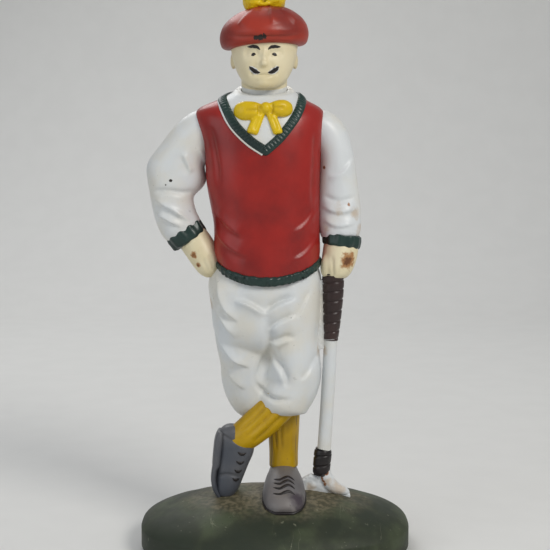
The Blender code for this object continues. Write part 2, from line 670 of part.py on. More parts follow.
def make_plate():
    """The oval plate under the dome, its countersinks and the post that locates the spring."""
    outline = [((BASE_WIDTH / 2 - PLATE_INSET) * u, (BASE_DEPTH / 2 - PLATE_INSET) * v)
               for u, v in around(DOME_SIDES, BASE_ROUNDNESS)]
    plate = skin("base_plate", [[(x, y, z) for x, y in outline] for z in (0.0, PLATE_THICKNESS)],
                 parts, BARE_IRON)
    join(plate, rod("spring_post", (ROD_X, SPRING_Y, PLATE_THICKNESS / 2),
                    (ROD_X, SPRING_Y, PLATE_THICKNESS + SPRING_POST_HEIGHT), SPRING_POST_RADIUS))
    for index, (x, y) in enumerate(base_screw_places()):
        seat = PLATE_THICKNESS - BASE_SCREW.thickness / 2
        cut(plate,
            rod(f"plate_hole_{index}", (x, y, -FAR), (x, y, FAR), BASE_SCREW.shank + CLEARANCE,
                sides=SCREW_STEPS),
            rod(f"plate_sink_{index}", (x, y, -FAR), (x, y, seat), BASE_SCREW.head + CLEARANCE,
                sides=TURN_STEPS))
        slotted_screw(f"base_screw_{index + 1}", BASE_SCREW, (x, y, seat - CLEARANCE), (0, 0, 1),
                      RIM + BASE_SCREW_BITE - seat)


def make_lever():
    """The thumb lever on its pin."""
    half = LEVER_WIDTH / 2
    lever = block("lever", (ROD_X - half, LEVER_TIP, LEVER_BOTTOM), (ROD_X + half, LEVER_REACH, LEVER_TOP),
                  parts, BARE_IRON)
    join(lever,
         rod("lever_hub", (ROD_X - half, PIVOT_Y, LEVER_HEIGHT), (ROD_X + half, PIVOT_Y, LEVER_HEIGHT),
             HUB_RADIUS),
         ellipsoid("lever_thumb", (ROD_X, LEVER_REACH, LEVER_HEIGHT),
                   (THUMB_RADIUS, THUMB_LENGTH, THUMB_THICKNESS), sides=KNOB_SIDES))
    cut(lever, rod("lever_bore", (ROD_X - LEVER_WIDTH, PIVOT_Y, LEVER_HEIGHT),
                   (ROD_X + LEVER_WIDTH, PIVOT_Y, LEVER_HEIGHT), LEVER_PIN_RADIUS + CLEARANCE))
    half_pin = half + CLEARANCE + EAR_THICKNESS
    rod("lever_pin", (ROD_X - half_pin, PIVOT_Y, LEVER_HEIGHT), (ROD_X + half_pin, PIVOT_Y, LEVER_HEIGHT),
        LEVER_PIN_RADIUS, parts, STEEL)
    hang("lever_pivot", (ROD_X, PIVOT_Y, LEVER_HEIGHT), lever)


def make_spring():
    """The coil spring that lifts the lever again, one unbroken wire."""
    wire = SPRING_WIRE / 2
    low = PLATE_THICKNESS + CLEARANCE + wire
    high = LEVER_BOTTOM - CLEARANCE - wire
    count = SPRING_TURNS * SPRING_POINTS
    points = []
    for index in range(count + 1):
        angle = 2 * math.pi * index / SPRING_POINTS
        points.append(Vector((ROD_X + SPRING_RADIUS * math.cos(angle),
                              SPRING_Y + SPRING_RADIUS * math.sin(angle),
                              low + (high - low) * index / count)))
    gap = min((points[i] - points[j]).length for i in range(len(points))
              for j in range(i + SPRING_POINTS // 2, len(points))) - SPRING_WIRE
    print("return_spring least gap to itself:", round(gap * 1000, 2), "mm")
    curve = bpy.data.curves.new("return_spring", "CURVE")
    curve.dimensions = "3D"
    curve.bevel_depth = wire
    curve.bevel_resolution = 1
    curve.use_fill_caps = True
    spline = curve.splines.new("POLY")
    spline.points.add(count)
    for point, place in zip(spline.points, points):
        point.co = (*place, 1.0)
    curve.materials.append(STEEL)
    parts.objects.link(bpy.data.objects.new("return_spring", curve))


def make_figure():
    """The golfer's body: all its forms in one casting, hollowed, drilled and parted into two halves."""
    casting = upright("casting", VEST, BODY_SIDES, BODY_ROUNDNESS, lift=hem_lift)
    join(casting,
         upright("hips_form", HIPS, BODY_SIDES, BODY_ROUNDNESS),
         limb("standing_trouser_form", STANDING_TROUSER_LEG, (0, 1, 0)),
         limb("crossed_trouser_form", CROSSED_TROUSER_LEG, (0, 1, 0)),
         limb("arm_on_hip_form", ARM_ON_HIP, (0, 1, 0)),
         limb("arm_with_club_form", ARM_WITH_CLUB, (0, 1, 0)),
         limb("standing_leg_form", STANDING_LEG, (0, 1, 0)),
         limb("crossed_leg_form", CROSSED_LEG, (0, 1, 0)),
         limb("standing_shoe_form", STANDING_SHOE, (1, 0, 0)),
         upright("crossed_shoe_form", CROSSED_SHOE, LIMB_SIDES),
         limb("club_form", CLUB, (0, 1, 0), CLUB_SIDES),
         limb("club_head_form", CLUB_HEAD, (0, 1, 0), CLUB_SIDES),
         skin("web_form", [[(x, CLUB_Y + side * WEB_THICKNESS / 2, SOLES + height) for x, height in WEB_EDGE]
                           for side in (-1, 1)]),
         block("grip_web_form", (GRIP_WEB_LEFT, CLUB_Y - WEB_THICKNESS / 2, SOLES + GRIP_WEB_LOW),
               (GRIP_WEB_RIGHT, CLUB_Y + WEB_THICKNESS / 2, SOLES + GRIP_WEB_TOP)))
    add_relief(casting)

    torso_hollow = upright("torso_hollow", VEST, BODY_SIDES, BODY_ROUNDNESS, WALL,
                           VEST[0].height + WALL, CAVITY_ROOF, 1)
    seat_hollow = upright("seat_hollow", HIPS, BODY_SIDES, BODY_ROUNDNESS, WALL,
                          CAVITY_FLOOR, HIPS[-1].height, 1)
    for label, sections, x, height in body_screw_places():
        z = SOLES + height
        pillar = rod(f"pillar_{label}", (x, -FAR, z), (x, FAR, z), PILLAR_RADIUS)
        cut(torso_hollow, pillar)
        cut(seat_hollow, pillar)
    cut(casting, torso_hollow, seat_hollow)

    for label, sections, x, height in body_screw_places():
        z = SOLES + height
        seat = surface_y(sections, x, height, 1) - COUNTERBORE
        end = surface_y(sections, x, height, -1) + WALL
        cut(casting,
            rod(f"body_hole_{label}", (x, end, z), (x, FAR, z), BODY_SCREW.shank + CLEARANCE,
                sides=SCREW_STEPS),
            rod(f"body_sink_{label}", (x, seat, z), (x, FAR, z), BODY_SCREW.head + CLEARANCE))
        slotted_screw(f"body_screw_{label}", BODY_SCREW, (x, seat + CLEARANCE, z), (0, -1, 0),
                      seat - end - CLEARANCE)

    slot_low = SOLES + SLOT_BOTTOM
    slot_inside = surface_y(VEST, SLOT_X, SLOT_BOTTOM, 1) - 2 * WALL
    cut(casting, block("coin_slot", (SLOT_X - SLOT_WIDTH / 2, slot_inside, slot_low),
                       (SLOT_X + SLOT_WIDTH / 2, FAR, slot_low + SLOT_LENGTH)))
    cut(casting, rod("rod_bore", (ROD_X, ROD_Y, 0), (ROD_X, ROD_Y, ROD_TOP + CLEARANCE),
                     ROD_RADIUS + RUNNING_CLEARANCE, sides=SCREW_STEPS))
    for index, (x, y) in enumerate(foot_screw_places()):
        top = SOLES + FOOT_SCREW_BITE
        cut(casting, rod(f"sole_hole_{index}", (x, y, 0), (x, y, top), FOOT_SCREW.shank + CLEARANCE,
                         sides=SCREW_STEPS))
        pad = screw_pad_z(x, y)
        label = ("standing", "crossed")[index]
        slotted_screw(f"foot_screw_{label}", FOOT_SCREW, (x, y, pad - CLEARANCE), (0, 0, 1), top - pad)
    cut(casting, rod("neck_hole", (HEAD_X, 0, SOLES + CAVITY_ROOF - WALL), (HEAD_X, 0, FAR),
                     NECK_RADIUS + NECK_HOLE_MARGIN))
    collar = block("collar_slope", (-FAR, -FAR, 0), (FAR, FAR, FAR))
    collar.location = (0, 0, SOLES + COLLAR_HEIGHT)
    collar.rotation_euler.x = math.radians(COLLAR_SLOPE)
    cut(casting, collar)
    pin = SOLES + PIVOT_HEIGHT
    half_pin = NECK_RADIUS + NECK_HOLE_MARGIN + NECK_PIN_BITE
    cut(casting, rod("neck_pin_groove", (HEAD_X - half_pin - CLEARANCE, 0, pin),
                     (HEAD_X + half_pin + CLEARANCE, 0, pin), NECK_PIN_RADIUS + CLEARANCE,
                     sides=SCREW_STEPS))
    rod("neck_pin", (HEAD_X - half_pin, 0, pin), (HEAD_X + half_pin, 0, pin), NECK_PIN_RADIUS, parts,
        STEEL, SCREW_STEPS)
    cut(casting, mound("dome_bed", CLEARANCE, 0.0))

    joint = CLEARANCE / 2
    front = block("figure_front", (-FAR, -FAR, -FAR), (FAR, -joint, FAR), parts, WHITE_ENAMEL)
    back = block("figure_back", (-FAR, joint, -FAR), (FAR, FAR, FAR), parts, WHITE_ENAMEL)
    boolean(front, casting, "INTERSECT")
    boolean(back, casting, "INTERSECT")


def add_relief(casting):
    """The hem, the neck edge, the cuffs, the bow tie and the trouser folds, half sunk in the casting."""
    hem = []
    for rise, proud in ((-HEM_PROUD, -CLEARANCE), (0.0, HEM_PROUD), (HEM_WIDTH - HEM_PROUD, HEM_PROUD),
                        (HEM_WIDTH, -CLEARANCE)):
        _, middle, half_width, front, back = section_at(VEST, VEST[0].height + max(rise, 0.0))
        hem.append(Section(VEST[0].height + rise, middle, half_width + proud, front + proud, back + proud))
    join(casting, upright("hem_form", hem, BODY_SIDES, BODY_ROUNDNESS, spans=1, lift=hem_lift))

    neck_v = [Station(x, surface_y(VEST, x, height, -1) + EDGE_SINK, height,
                      EDGE_HALF_HEIGHT, EDGE_HALF_WIDTH) for x, height in NECK_V]
    join(casting,
         limb("neck_v_form", neck_v, (0, 1, 0), TRIM_SIDES, 1),
         limb("nape_edge_form", NAPE_EDGE, (0, 0, 1), TRIM_SIDES, 1),
         limb("cuff_on_hip_form", CUFF_ON_HIP, (0, 1, 0)),
         limb("cuff_with_club_form", CUFF_WITH_CLUB, (0, 1, 0)))

    for name, stations in (("left_lobe", TIE_LEFT_LOBE), ("right_lobe", TIE_RIGHT_LOBE),
                           ("left_tail", TIE_LEFT_TAIL), ("right_tail", TIE_RIGHT_TAIL)):
        join(casting, limb(f"tie_{name}_form", stations, (0, 1, 0), TRIM_SIDES))
    x, y, height = TIE_KNOT
    join(casting, ellipsoid("tie_knot_form", (x, y, SOLES + height), TIE_KNOT_RADII, sides=CLUB_SIDES))

    for index, path in enumerate(FOLDS):
        sizes = (FOLD_END, FOLD_MIDDLE, FOLD_END)
        stations = [Station(x, trouser_y(x, height) + FOLD_SINK, height, *size)
                    for (x, height), size in zip(path, sizes)]
        join(casting, limb(f"fold_form_{index}", stations, (0, 1, 0), TRIM_SIDES))


def body_screw_places():
    return [("upper", VEST, UPPER_SCREW_X, UPPER_SCREW_HEIGHT),
            ("lower", HIPS, LOWER_SCREW_X, LOWER_SCREW_HEIGHT)]


def make_head():
    """Head and neck with the tail that the rod lifts, and the cap and pompon on their stud."""
    skull = upright("skull_form", SKULL, TURN_STEPS)
    low = SOLES + NECK_BOTTOM
    head = rod("head", (HEAD_X, 0, low), (HEAD_X, 0, SOLES + NECK_TOP), NECK_RADIUS, parts,
               FLESH_ENAMEL)
    tail_right = ROD_X + ROD_RADIUS + TAIL_OVERHANG / 2
    join(head, skull,
         block("head_tail", (tail_right - TAIL_WIDTH, 0, low),
               (tail_right, ROD_Y + ROD_RADIUS + TAIL_OVERHANG, low + TAIL_THICKNESS)))
    cut(head,
        rod("neck_bore", (HEAD_X - FAR, 0, SOLES + PIVOT_HEIGHT), (HEAD_X + FAR, 0, SOLES + PIVOT_HEIGHT),
            NECK_PIN_RADIUS + CLEARANCE, sides=SCREW_STEPS))
    stud_low = SOLES + CROWN.height - STUD_BITE
    stud_high = SOLES + CAP_TOP + STUD_BITE
    stud_hole = rod("stud_hole", (HEAD_X, 0, stud_low - CLEARANCE), (HEAD_X, 0, stud_high + CLEARANCE),
                    STUD_RADIUS + CLEARANCE, sides=SCREW_STEPS)
    cut(head, stud_hole)
    stud = rod("cap_stud", (HEAD_X, 0, stud_low), (HEAD_X, 0, stud_high), STUD_RADIUS, parts, STEEL,
               SCREW_STEPS)

    cap = turned("cap", cap_profile(), (HEAD_X, 0, SOLES), parts, RED_ENAMEL)
    pompon = ellipsoid("pompon", (HEAD_X, 0, SOLES + CAP_TOP + CLEARANCE),
                       (POMPON_RADIUS, POMPON_RADIUS, POMPON_HEIGHT), parts, YELLOW_ENAMEL,
                       floor=SOLES + CAP_TOP + CLEARANCE, sides=KNOB_SIDES)
    cut(pompon, stud_hole)
    hang("head_pivot", (HEAD_X, 0, SOLES + PIVOT_HEIGHT), head, cap, pompon, stud)


def cap_profile():
    """The puffy tam from its stud hole over the crown to the brim, then up its inner side."""
    hole = STUD_RADIUS + CLEARANCE
    steps = 7
    brim_radius = HEAD_BAND.half_width + CLEARANCE
    outer, inner = [], []
    for index in range(steps + 1):
        angle = math.pi / 2 * index / steps
        swell, drop = math.sin(angle) ** (2 / CAP_PUFF), math.cos(angle) ** (2 / CAP_PUFF)
        outer.append((max(CAP_RADIUS * swell, hole), CAP_WIDEST + (CAP_TOP - CAP_WIDEST) * drop))
        inner.append(((CAP_RADIUS - CAP_WALL) * swell, CAP_WIDEST + (CAP_TOP - CAP_WIDEST - CAP_WALL) * drop))
    under_steps = 3
    for index in range(1, under_steps + 1):
        angle = math.pi / 2 * index / under_steps
        outer.append((brim_radius + (CAP_RADIUS - brim_radius) * math.cos(angle),
                      CAP_WIDEST - (CAP_WIDEST - CAP_BRIM) * math.sin(angle)))
    inner = [point for point in reversed(inner) if point[0] > HEAD_PAD_RADIUS]
    seat = CROWN.height + CLEARANCE
    return outer + inner + [(HEAD_PAD_RADIUS, seat), (hole, seat)]


def make_push_rod():
    """The wire that carries the lever's lift up the standing leg to the head's tail."""
    wire = rod("push_rod", (ROD_X, ROD_Y, ROD_BOTTOM), (ROD_X, ROD_Y, ROD_TOP), ROD_RADIUS, parts, STEEL,
               SCREW_STEPS)
    hang("rod_slide", (ROD_X, ROD_Y, ROD_BOTTOM), wire)


make_base()
make_plate()
make_lever()
make_spring()
make_push_rod()
make_figure()
make_head()
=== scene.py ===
# %% [markdown]
# # A painted cast-iron golfer
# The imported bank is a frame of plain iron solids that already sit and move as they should. This lesson
# dresses it: smooth castings over the solids, cast trim on top of them, and old enamel on all of it.

# %% Load the frame
import math

import bmesh
import bpy
import numpy as np
from mathutils import Matrix, Vector, noise
from mathutils.bvhtree import BVHTree


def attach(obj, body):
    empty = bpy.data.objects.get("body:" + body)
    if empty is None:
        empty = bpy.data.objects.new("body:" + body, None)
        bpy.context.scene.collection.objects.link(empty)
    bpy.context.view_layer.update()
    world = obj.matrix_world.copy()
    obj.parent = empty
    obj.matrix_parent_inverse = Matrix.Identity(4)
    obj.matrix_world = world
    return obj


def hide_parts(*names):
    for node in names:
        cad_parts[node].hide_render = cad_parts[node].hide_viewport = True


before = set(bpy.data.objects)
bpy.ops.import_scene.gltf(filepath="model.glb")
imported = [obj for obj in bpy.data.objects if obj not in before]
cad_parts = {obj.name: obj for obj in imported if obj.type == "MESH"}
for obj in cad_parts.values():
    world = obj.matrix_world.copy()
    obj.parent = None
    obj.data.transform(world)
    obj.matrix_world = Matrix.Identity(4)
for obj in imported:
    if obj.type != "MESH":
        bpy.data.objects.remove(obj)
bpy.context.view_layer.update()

# %% [markdown]
# ## Camera, floor and light
# The picture looks at the figure from the front and a little from above, with a longish lens, so the
# domed base shows some of its top. The lens follows from how much height the picture has to hold at the
# figure's distance, so moving the camera keeps the framing.

# %% Aim the camera
scene = bpy.context.scene
scene.view_settings.view_transform = "Standard"
EYE = Vector((-0.003, -0.76, 0.256))
AIM = Vector((0.0, 0.0, 0.167))
PICTURE_HEIGHT = 0.333
SENSOR = 36.0

camera = bpy.data.objects.new("camera", bpy.data.cameras.new("camera"))
scene.collection.objects.link(camera)
scene.camera = camera
camera.location = EYE
camera.rotation_euler = (AIM - EYE).to_track_quat("-Z", "Y").to_euler()
camera.data.sensor_width = SENSOR
camera.data.lens = SENSOR * (AIM - EYE).length / PICTURE_HEIGHT
print("lens:", round(camera.data.lens, 1), "mm")

# %% [markdown]
# A studio sweep is a floor that curves up into a wall, so no horizon shows. One bent grid makes it: the
# rows behind the figure climb a quarter circle and then go straight up.

# %% Roll out the sweep
SWEEP_SIZE = 4.0
SWEEP_START = 0.9
SWEEP_RADIUS = 0.5


def new_piece(name, shape):
    """Turn a bmesh into an object that stands at the origin, with smooth shading."""
    bmesh.ops.recalc_face_normals(shape, faces=shape.faces)
    for face in shape.faces:
        face.smooth = True
    mesh = bpy.data.meshes.new(name)
    shape.to_mesh(mesh)
    shape.free()
    piece = bpy.data.objects.new(name, mesh)
    scene.collection.objects.link(piece)
    return piece


sheet = bmesh.new()
bmesh.ops.create_grid(sheet, x_segments=1, y_segments=160, size=SWEEP_SIZE)
for vertex in sheet.verts:
    past = vertex.co.y - SWEEP_START
    if past > 0:
        turn = min(past / SWEEP_RADIUS, math.pi / 2)
        climb = max(past - SWEEP_RADIUS * math.pi / 2, 0)
        vertex.co.y = SWEEP_START + SWEEP_RADIUS * math.sin(turn)
        vertex.co.z = SWEEP_RADIUS * (1 - math.cos(turn)) + climb
floor = new_piece("floor", sheet)
print("sweep:", len(floor.data.vertices), "points")

# %% [markdown]
# Three wide soft lamps and a pale sky are enough for enamel. The key stands high on the viewer's right, the
# fill low on the left and slightly cool, and a rim lamp behind, so round forms get a soft highlight and a
# readable dark side.

# %% Hang the lamps
def soft_lamp(name, place, target, size, watts, color):
    lamp = bpy.data.objects.new(name, bpy.data.lights.new(name, "AREA"))
    lamp.data.size = size
    lamp.data.energy = watts
    lamp.data.color = color
    lamp.location = place
    lamp.rotation_euler = (Vector(target) - Vector(place)).to_track_quat("-Z", "Y").to_euler()
    scene.collection.objects.link(lamp)


CHEST = (0.0, 0.0, 0.19)
soft_lamp("key", (0.75, -0.95, 1.05), CHEST, 0.5, 11.5, (1.0, 0.97, 0.92))
soft_lamp("fill", (-1.1, -0.8, 0.55), CHEST, 0.9, 3.6, (0.90, 0.95, 1.0))
soft_lamp("rim", (-0.3, 0.9, 1.1), CHEST, 0.8, 6.0, (1.0, 1.0, 1.0))
sky = bpy.data.worlds.new("studio")
scene.world = sky
sky.use_nodes = True
sky.node_tree.nodes["Background"].inputs["Color"].default_value = (0.88, 0.90, 0.93, 1.0)
sky.node_tree.nodes["Background"].inputs["Strength"].default_value = 0.40

# %% [markdown]
# ## Tools for cast forms
# A casting grows from a carved pattern, and a pattern from simple bulks. Each bulk here is a row of rings:
# a few stations, a smooth curve through them, a circle at every step and bridged loops
# between the circles. Stations are in millimetres, and their heights count from the top of the base's
# straight skirt, so one function carries a station to its place in metres.

# %% Loft rings into a bulk
MM = 0.001
SKIRT = 11.0


def spot(x, y, z):
    """A station's place in metres."""
    return Vector((x, y, z + SKIRT)) * MM


def smooth_rows(rows, steps):
    """Rows of numbers with a Catmull-Rom curve filled in between them."""
    rows = [np.array(row, dtype=float) for row in rows]
    padded = [rows[0], *rows, rows[-1]]
    filled = []
    for before, start, end, after in zip(padded, padded[1:], padded[2:], padded[3:]):
        for step in range(steps):
            t = step / steps
            filled.append(0.5 * (2 * start + (end - before) * t
                                 + (2 * before - 5 * start + 4 * end - after) * t ** 2
                                 + (3 * start - before - 3 * end + after) * t ** 3))
    return filled + [rows[-1]]


def loft(rings, sides=32, outline=None, closed=False):
    """Bridge rings, each a matrix that carries the unit circle to its place, into one skin."""
    shape = bmesh.new()
    loops = []
    for step, ring in enumerate(rings):
        points = bmesh.ops.create_circle(shape, cap_ends=False, segments=sides, radius=1)["verts"]
        for vertex in points:
            if outline:
                vertex.co = outline(step, vertex.co)
            vertex.co = ring @ vertex.co
        loops.append(list(dict.fromkeys(edge for vertex in points for edge in vertex.link_edges)))
    pairs = list(zip(loops, loops[1:])) + ([(loops[-1], loops[0])] if closed else [])
    for near, far in pairs:
        bmesh.ops.bridge_loops(shape, edges=near + far)
    bmesh.ops.holes_fill(shape, edges=shape.edges, sides=sides)
    bmesh.ops.recalc_face_normals(shape, faces=shape.faces)
    return shape


def ring_matrix(place, across, along):
    """A ring's matrix from its middle and its two half axes, in metres."""
    axes = Matrix((across, along, across.cross(along).normalized())).transposed()
    return Matrix.Translation(place) @ axes.to_4x4()


def level_ring(x, y, z, half, deep):
    """A level ring's matrix from its middle and its two half sizes, in millimetres."""
    return ring_matrix(spot(x, y, z), Vector((half, 0, 0)) * MM, Vector((0, deep, 0)) * MM)


# %% Two kinds of bulk
RING_STEPS = 4


def squared(roundness):
    """An outline that carries a circle to a superellipse."""
    def outline(step, point):
        return Vector([math.copysign(abs(value) ** (2 / roundness), value) for value in point])
    return outline


def sharing(index, value, *rows):
    """Rows with a value that they all share put in at an index."""
    return [(*row[:index], value, *row[index:]) for row in rows]


def upright(rows, sides=48, roundness=2.0, steps=RING_STEPS):
    """A standing bulk from rows of height, middle x, half width, reach to the front, reach to the back."""
    rings = [level_ring(x, (back - front) / 2, z, half, (front + back) / 2)
             for z, x, half, front, back in smooth_rows(rows, steps)]
    return loft(rings, sides, squared(roundness))


def limb(rows, side=(0, 1, 0), sides=28, steps=RING_STEPS, outline=None):
    """A bulk along a path, from rows of x, y, z, half size along side and half size across it."""
    filled = smooth_rows(rows, steps)
    rings = []
    for index, (x, y, z, deep, broad) in enumerate(filled):
        near, far = filled[max(index - 1, 0)], filled[min(index + 1, len(filled) - 1)]
        forward = Vector(far[:3] - near[:3]).normalized()
        along = (Vector(side) - forward * Vector(side).dot(forward)).normalized()
        across = forward.cross(along)
        rings.append(ring_matrix(spot(x, y, z), across * broad * MM, along * deep * MM))
    return loft(rings, sides, outline)


def egg(place, radii, turn=None):
    """A rounded lump: a sphere scaled to three radii, turned by an optional rotation and put in place."""
    shape = bmesh.new()
    bmesh.ops.create_uvsphere(shape, u_segments=32, v_segments=20, radius=1)
    bmesh.ops.scale(shape, vec=Vector(radii) * MM, verts=shape.verts)
    if turn:
        bmesh.ops.rotate(shape, matrix=Matrix.Rotation(math.radians(turn[0]), 3, turn[1]), verts=shape.verts)
    bmesh.ops.translate(shape, vec=spot(*place), verts=shape.verts)
    return shape


# %% [markdown]
# Bulks that overlap have to become one skin, as clay does when it is pressed together. The Remesh modifier
# in its voxel mode does that, at the price of a slightly stepped surface, and a few rounds of vertex
# smoothing take the steps away. The mesh is then dense and even enough to be carved.

# %% Melt bulks into one skin
def bake(piece):
    """Keep what a piece's modifiers make of it as its mesh."""
    graph = bpy.context.evaluated_depsgraph_get()
    baked = bpy.data.meshes.new_from_object(piece.evaluated_get(graph))
    piece.modifiers.clear()
    old, piece.data = piece.data, baked
    bpy.data.meshes.remove(old)


def cast(name, bulks, grain, rubs):
    """Melt bulks together in voxels of the given grain and rub the skin smooth."""
    melt = bmesh.new()
    for bulk in bulks:
        form = bpy.data.meshes.new("form")
        bulk.to_mesh(form)
        bulk.free()
        melt.from_mesh(form)
        bpy.data.meshes.remove(form)
    piece = new_piece(name, melt)
    remesh = piece.modifiers.new("melt", "REMESH")
    remesh.mode = "VOXEL"
    remesh.voxel_size = grain * MM
    bake(piece)
    rub(piece, rubs)
    return piece


def rub(piece, times):
    """Smooth a piece's vertices a number of times."""
    skin = bmesh.new()
    skin.from_mesh(piece.data)
    for _ in range(times):
        bmesh.ops.smooth_vert(skin, verts=skin.verts, factor=0.5, use_axis_x=True, use_axis_y=True,
                              use_axis_z=True)
    for face in skin.faces:
        face.smooth = True
    skin.to_mesh(piece.data)
    skin.free()


# %% [markdown]
# Folds and creases are strokes of a gouge. A stroke is a few points seen from the front or the back, a
# width and a depth: every vertex near it moves along its normal. A fold of cloth isn't a plain groove, it
# overlaps, so a stroke can lean: it then lifts a lip on its left, drops it sharply at the line and lets
# both sides fade out. The depth is also kept as an attribute on the mesh, so that the paint can darken the
# hollows with dirt and with painted shade.

# %% Carve strokes
FACING_GAIN, FACING_START = 2.5, 0.4
END_FADE = 0.3
LIP_HEIGHT, LIP_SHARPNESS = 2.1, 3.0
# Carve depths where the hollow value starts and where it is full; it paints dirt and painted shade into
# hollows.
DIRT_AND_SHADE_START, DIRT_AND_SHADE_FULL = 0.3, 1.5


def along_path(points, path):
    """For 2-D points: the signed gap to a path, positive on its left, and a fade towards the path's ends."""
    path = np.array(smooth_rows(path, 6))
    nearest = np.full(len(points), np.inf)
    gaps, reached = np.zeros(len(points)), np.zeros(len(points))
    for index, (start, end) in enumerate(zip(path, path[1:])):
        run = end - start
        share = np.clip((points - start) @ run / max(run @ run, 1e-9), 0, 1)
        away = points - start - share[:, None] * run
        gap = np.linalg.norm(away, axis=1)
        closer = gap < nearest
        nearest = np.where(closer, gap, nearest)
        gaps = np.where(closer, np.copysign(gap, run[0] * away[:, 1] - run[1] * away[:, 0]), gaps)
        reached = np.where(closer, (index + share) / (len(path) - 1), reached)
    ends = np.clip(np.minimum(reached, 1 - reached) / END_FADE, 0, 1)
    return gaps, ends * ends * (3 - 2 * ends)


def vertex_rows(mesh, what):
    """A mesh's vertex places or normals as an array of rows."""
    flat = np.empty(len(mesh.vertices) * 3)
    mesh.vertices.foreach_get(what, flat)
    return flat.reshape(-1, 3)


def keep_values(piece, name, values):
    """Store one number per vertex for the paint to read."""
    layer = piece.data.attributes.new(name, "FLOAT", "POINT")
    layer.data.foreach_set("value", np.asarray(values, dtype=np.float32))


def carve(piece, front, back=()):
    """Move a skin along strokes of width, depth, lean and points as x and z, all in millimetres."""
    places, normals = vertex_rows(piece.data, "co"), vertex_rows(piece.data, "normal")
    seen = places[:, [0, 2]] / MM - (0, SKIRT)
    push = np.zeros(len(places))
    for side, strokes in ((-1, front), (1, back)):
        facing = np.clip(side * normals[:, 1] * FACING_GAIN + FACING_START, 0, 1)
        for width, depth, lean, *path in strokes:
            gaps, fade = along_path(seen, path)
            reach = np.abs(gaps / width)
            step = np.sign(gaps) * (1 - np.exp(-LIP_SHARPNESS * reach)) * np.exp(-reach) * LIP_HEIGHT
            push += depth * facing * fade * ((1 - lean) * np.exp(-reach ** 2) + lean * step)
    places += normals * push[:, None] * MM
    piece.data.vertices.foreach_set("co", places.ravel())
    piece.data.update()
    keep_values(piece, "hollow", np.clip((-push - DIRT_AND_SHADE_START) / (DIRT_AND_SHADE_FULL - DIRT_AND_SHADE_START), 0, 1))


def roughen(piece, size, depth, where=None):
    """Lump a skin along its normals with noise of a lump size, weighted by an optional function of place."""
    places, normals = vertex_rows(piece.data, "co"), vertex_rows(piece.data, "normal")
    lumps = np.array([noise.noise(Vector(place) / (size * MM)) * (where(Vector(place)) if where else 1.0)
                      for place in places])
    places += normals * lumps[:, None] * depth * MM
    piece.data.vertices.foreach_set("co", places.ravel())
    piece.data.update()


# %% [markdown]
# ## Enamel
# The casting was dipped and brushed with oil enamel a long time ago. Up close the coat has a slow mottle, a
# little brush and sand texture from the casting, dirt and painted shade in the hollows, fine specks, chips
# down to the iron and some rust. Writing that as node trees by hand is slow, so a small class lets sockets
# do Python sums.

# %% A socket that does sums
class Wire:
    """A shader socket that takes part in sums and can add any other node."""

    def __init__(self, tree, socket=None):
        self.tree, self.socket = tree, socket

    def node(self, kind, settings=None, sockets=None, output=0):
        """Add a node of this kind: its settings first, then the values or links of its sockets."""
        made = self.tree.nodes.new("ShaderNode" + kind)
        for name, value in (settings or {}).items():
            setattr(made, name, value)
        for name, value in (sockets or {}).items():
            if isinstance(value, Wire):
                self.tree.links.new(value.socket, made.inputs[name])
            else:
                made.inputs[name].default_value = value
        return Wire(self.tree, made.outputs[output])

    def maths(self, operation, *values):
        return self.node("Math", {"operation": operation}, dict(enumerate(values)))

    def __add__(self, other):
        return self.maths("ADD", self, other)

    def __sub__(self, other):
        return self.maths("SUBTRACT", self, other)

    def __rsub__(self, other):
        return self.maths("SUBTRACT", other, self)

    def __mul__(self, other):
        return self.maths("MULTIPLY", self, other)

    __radd__ = __add__
    __rmul__ = __mul__

    def __abs__(self):
        return self.maths("ABSOLUTE", self)

    def larger(self, other):
        return self.maths("MAXIMUM", self, other)

    def rise(self, low, high):
        """0 below low, 1 above high and smooth between; low may be the larger of the two."""
        return self.node("MapRange", {"interpolation_type": "SMOOTHSTEP"},
                         {"Value": self, "From Min": low, "From Max": high})

    def noise(self, scale, detail):
        return self.node("TexNoise", {}, {"Vector": self, "Scale": scale, "Detail": detail})

    def axis(self, index):
        """One coordinate of a vector."""
        return self.node("SeparateXYZ", {}, {0: self}, index)

    def away_from(self, place):
        """Distance from a point given in millimetres."""
        return self.node("VectorMath", {"operation": "DISTANCE"}, {0: self, 1: spot(*place)}, 1)

    def between(self, under, top):
        """The colour under where this mask is 0 and the colour top where it is 1."""
        return self.node("Mix", {"data_type": "RGBA"}, {0: self, 6: under, 7: top}, 2)


def srgb(red, green, blue):
    """A colour as an eye reads it, 0 to 255, turned into the linear light that Blender mixes."""
    return (*[(value / 255 / 12.92 if value < 10.5 else ((value / 255 + 0.055) / 1.055) ** 2.4)
              for value in (red, green, blue)], 1.0)


# %% [markdown]
# Every enamel follows one recipe: the mottled coat, then dirt and painted shade in the hollows, specks,
# chips, rust and the line where the two casting halves meet. The arguments say how much of each, and where
# the single marks sit.

# %% The enamel recipe
RUST, RUST_DARK = srgb(158, 98, 36), srgb(82, 42, 26)
IRON_DARK = srgb(44, 38, 36)
# The first colour is the brown that carved hollows darken towards, dirt and painted shade together; it also
# tints the casting seam.
GRIME_AND_SHADE, STAIN = srgb(70, 62, 48), srgb(176, 140, 84)
SHEEN = 0.38


def paint(name):
    """A new material, its shader's input sockets, and its object coordinates as a wire."""
    material = bpy.data.materials.new(name)
    material.use_nodes = True
    tree = material.node_tree
    coords = Wire(tree).node("TexCoord", output="Object")
    return material, tree.nodes["Principled BSDF"].inputs, coords


def plug(wire, socket):
    wire.tree.links.new(wire.socket, socket)


def ragged(coords, place, wander, grain, detail):
    """Distance from a mark's middle, with noise that makes the mark's edge wander, in millimetres."""
    return coords.away_from(place) + (coords.noise(grain, detail) - 0.5) * (wander * MM)


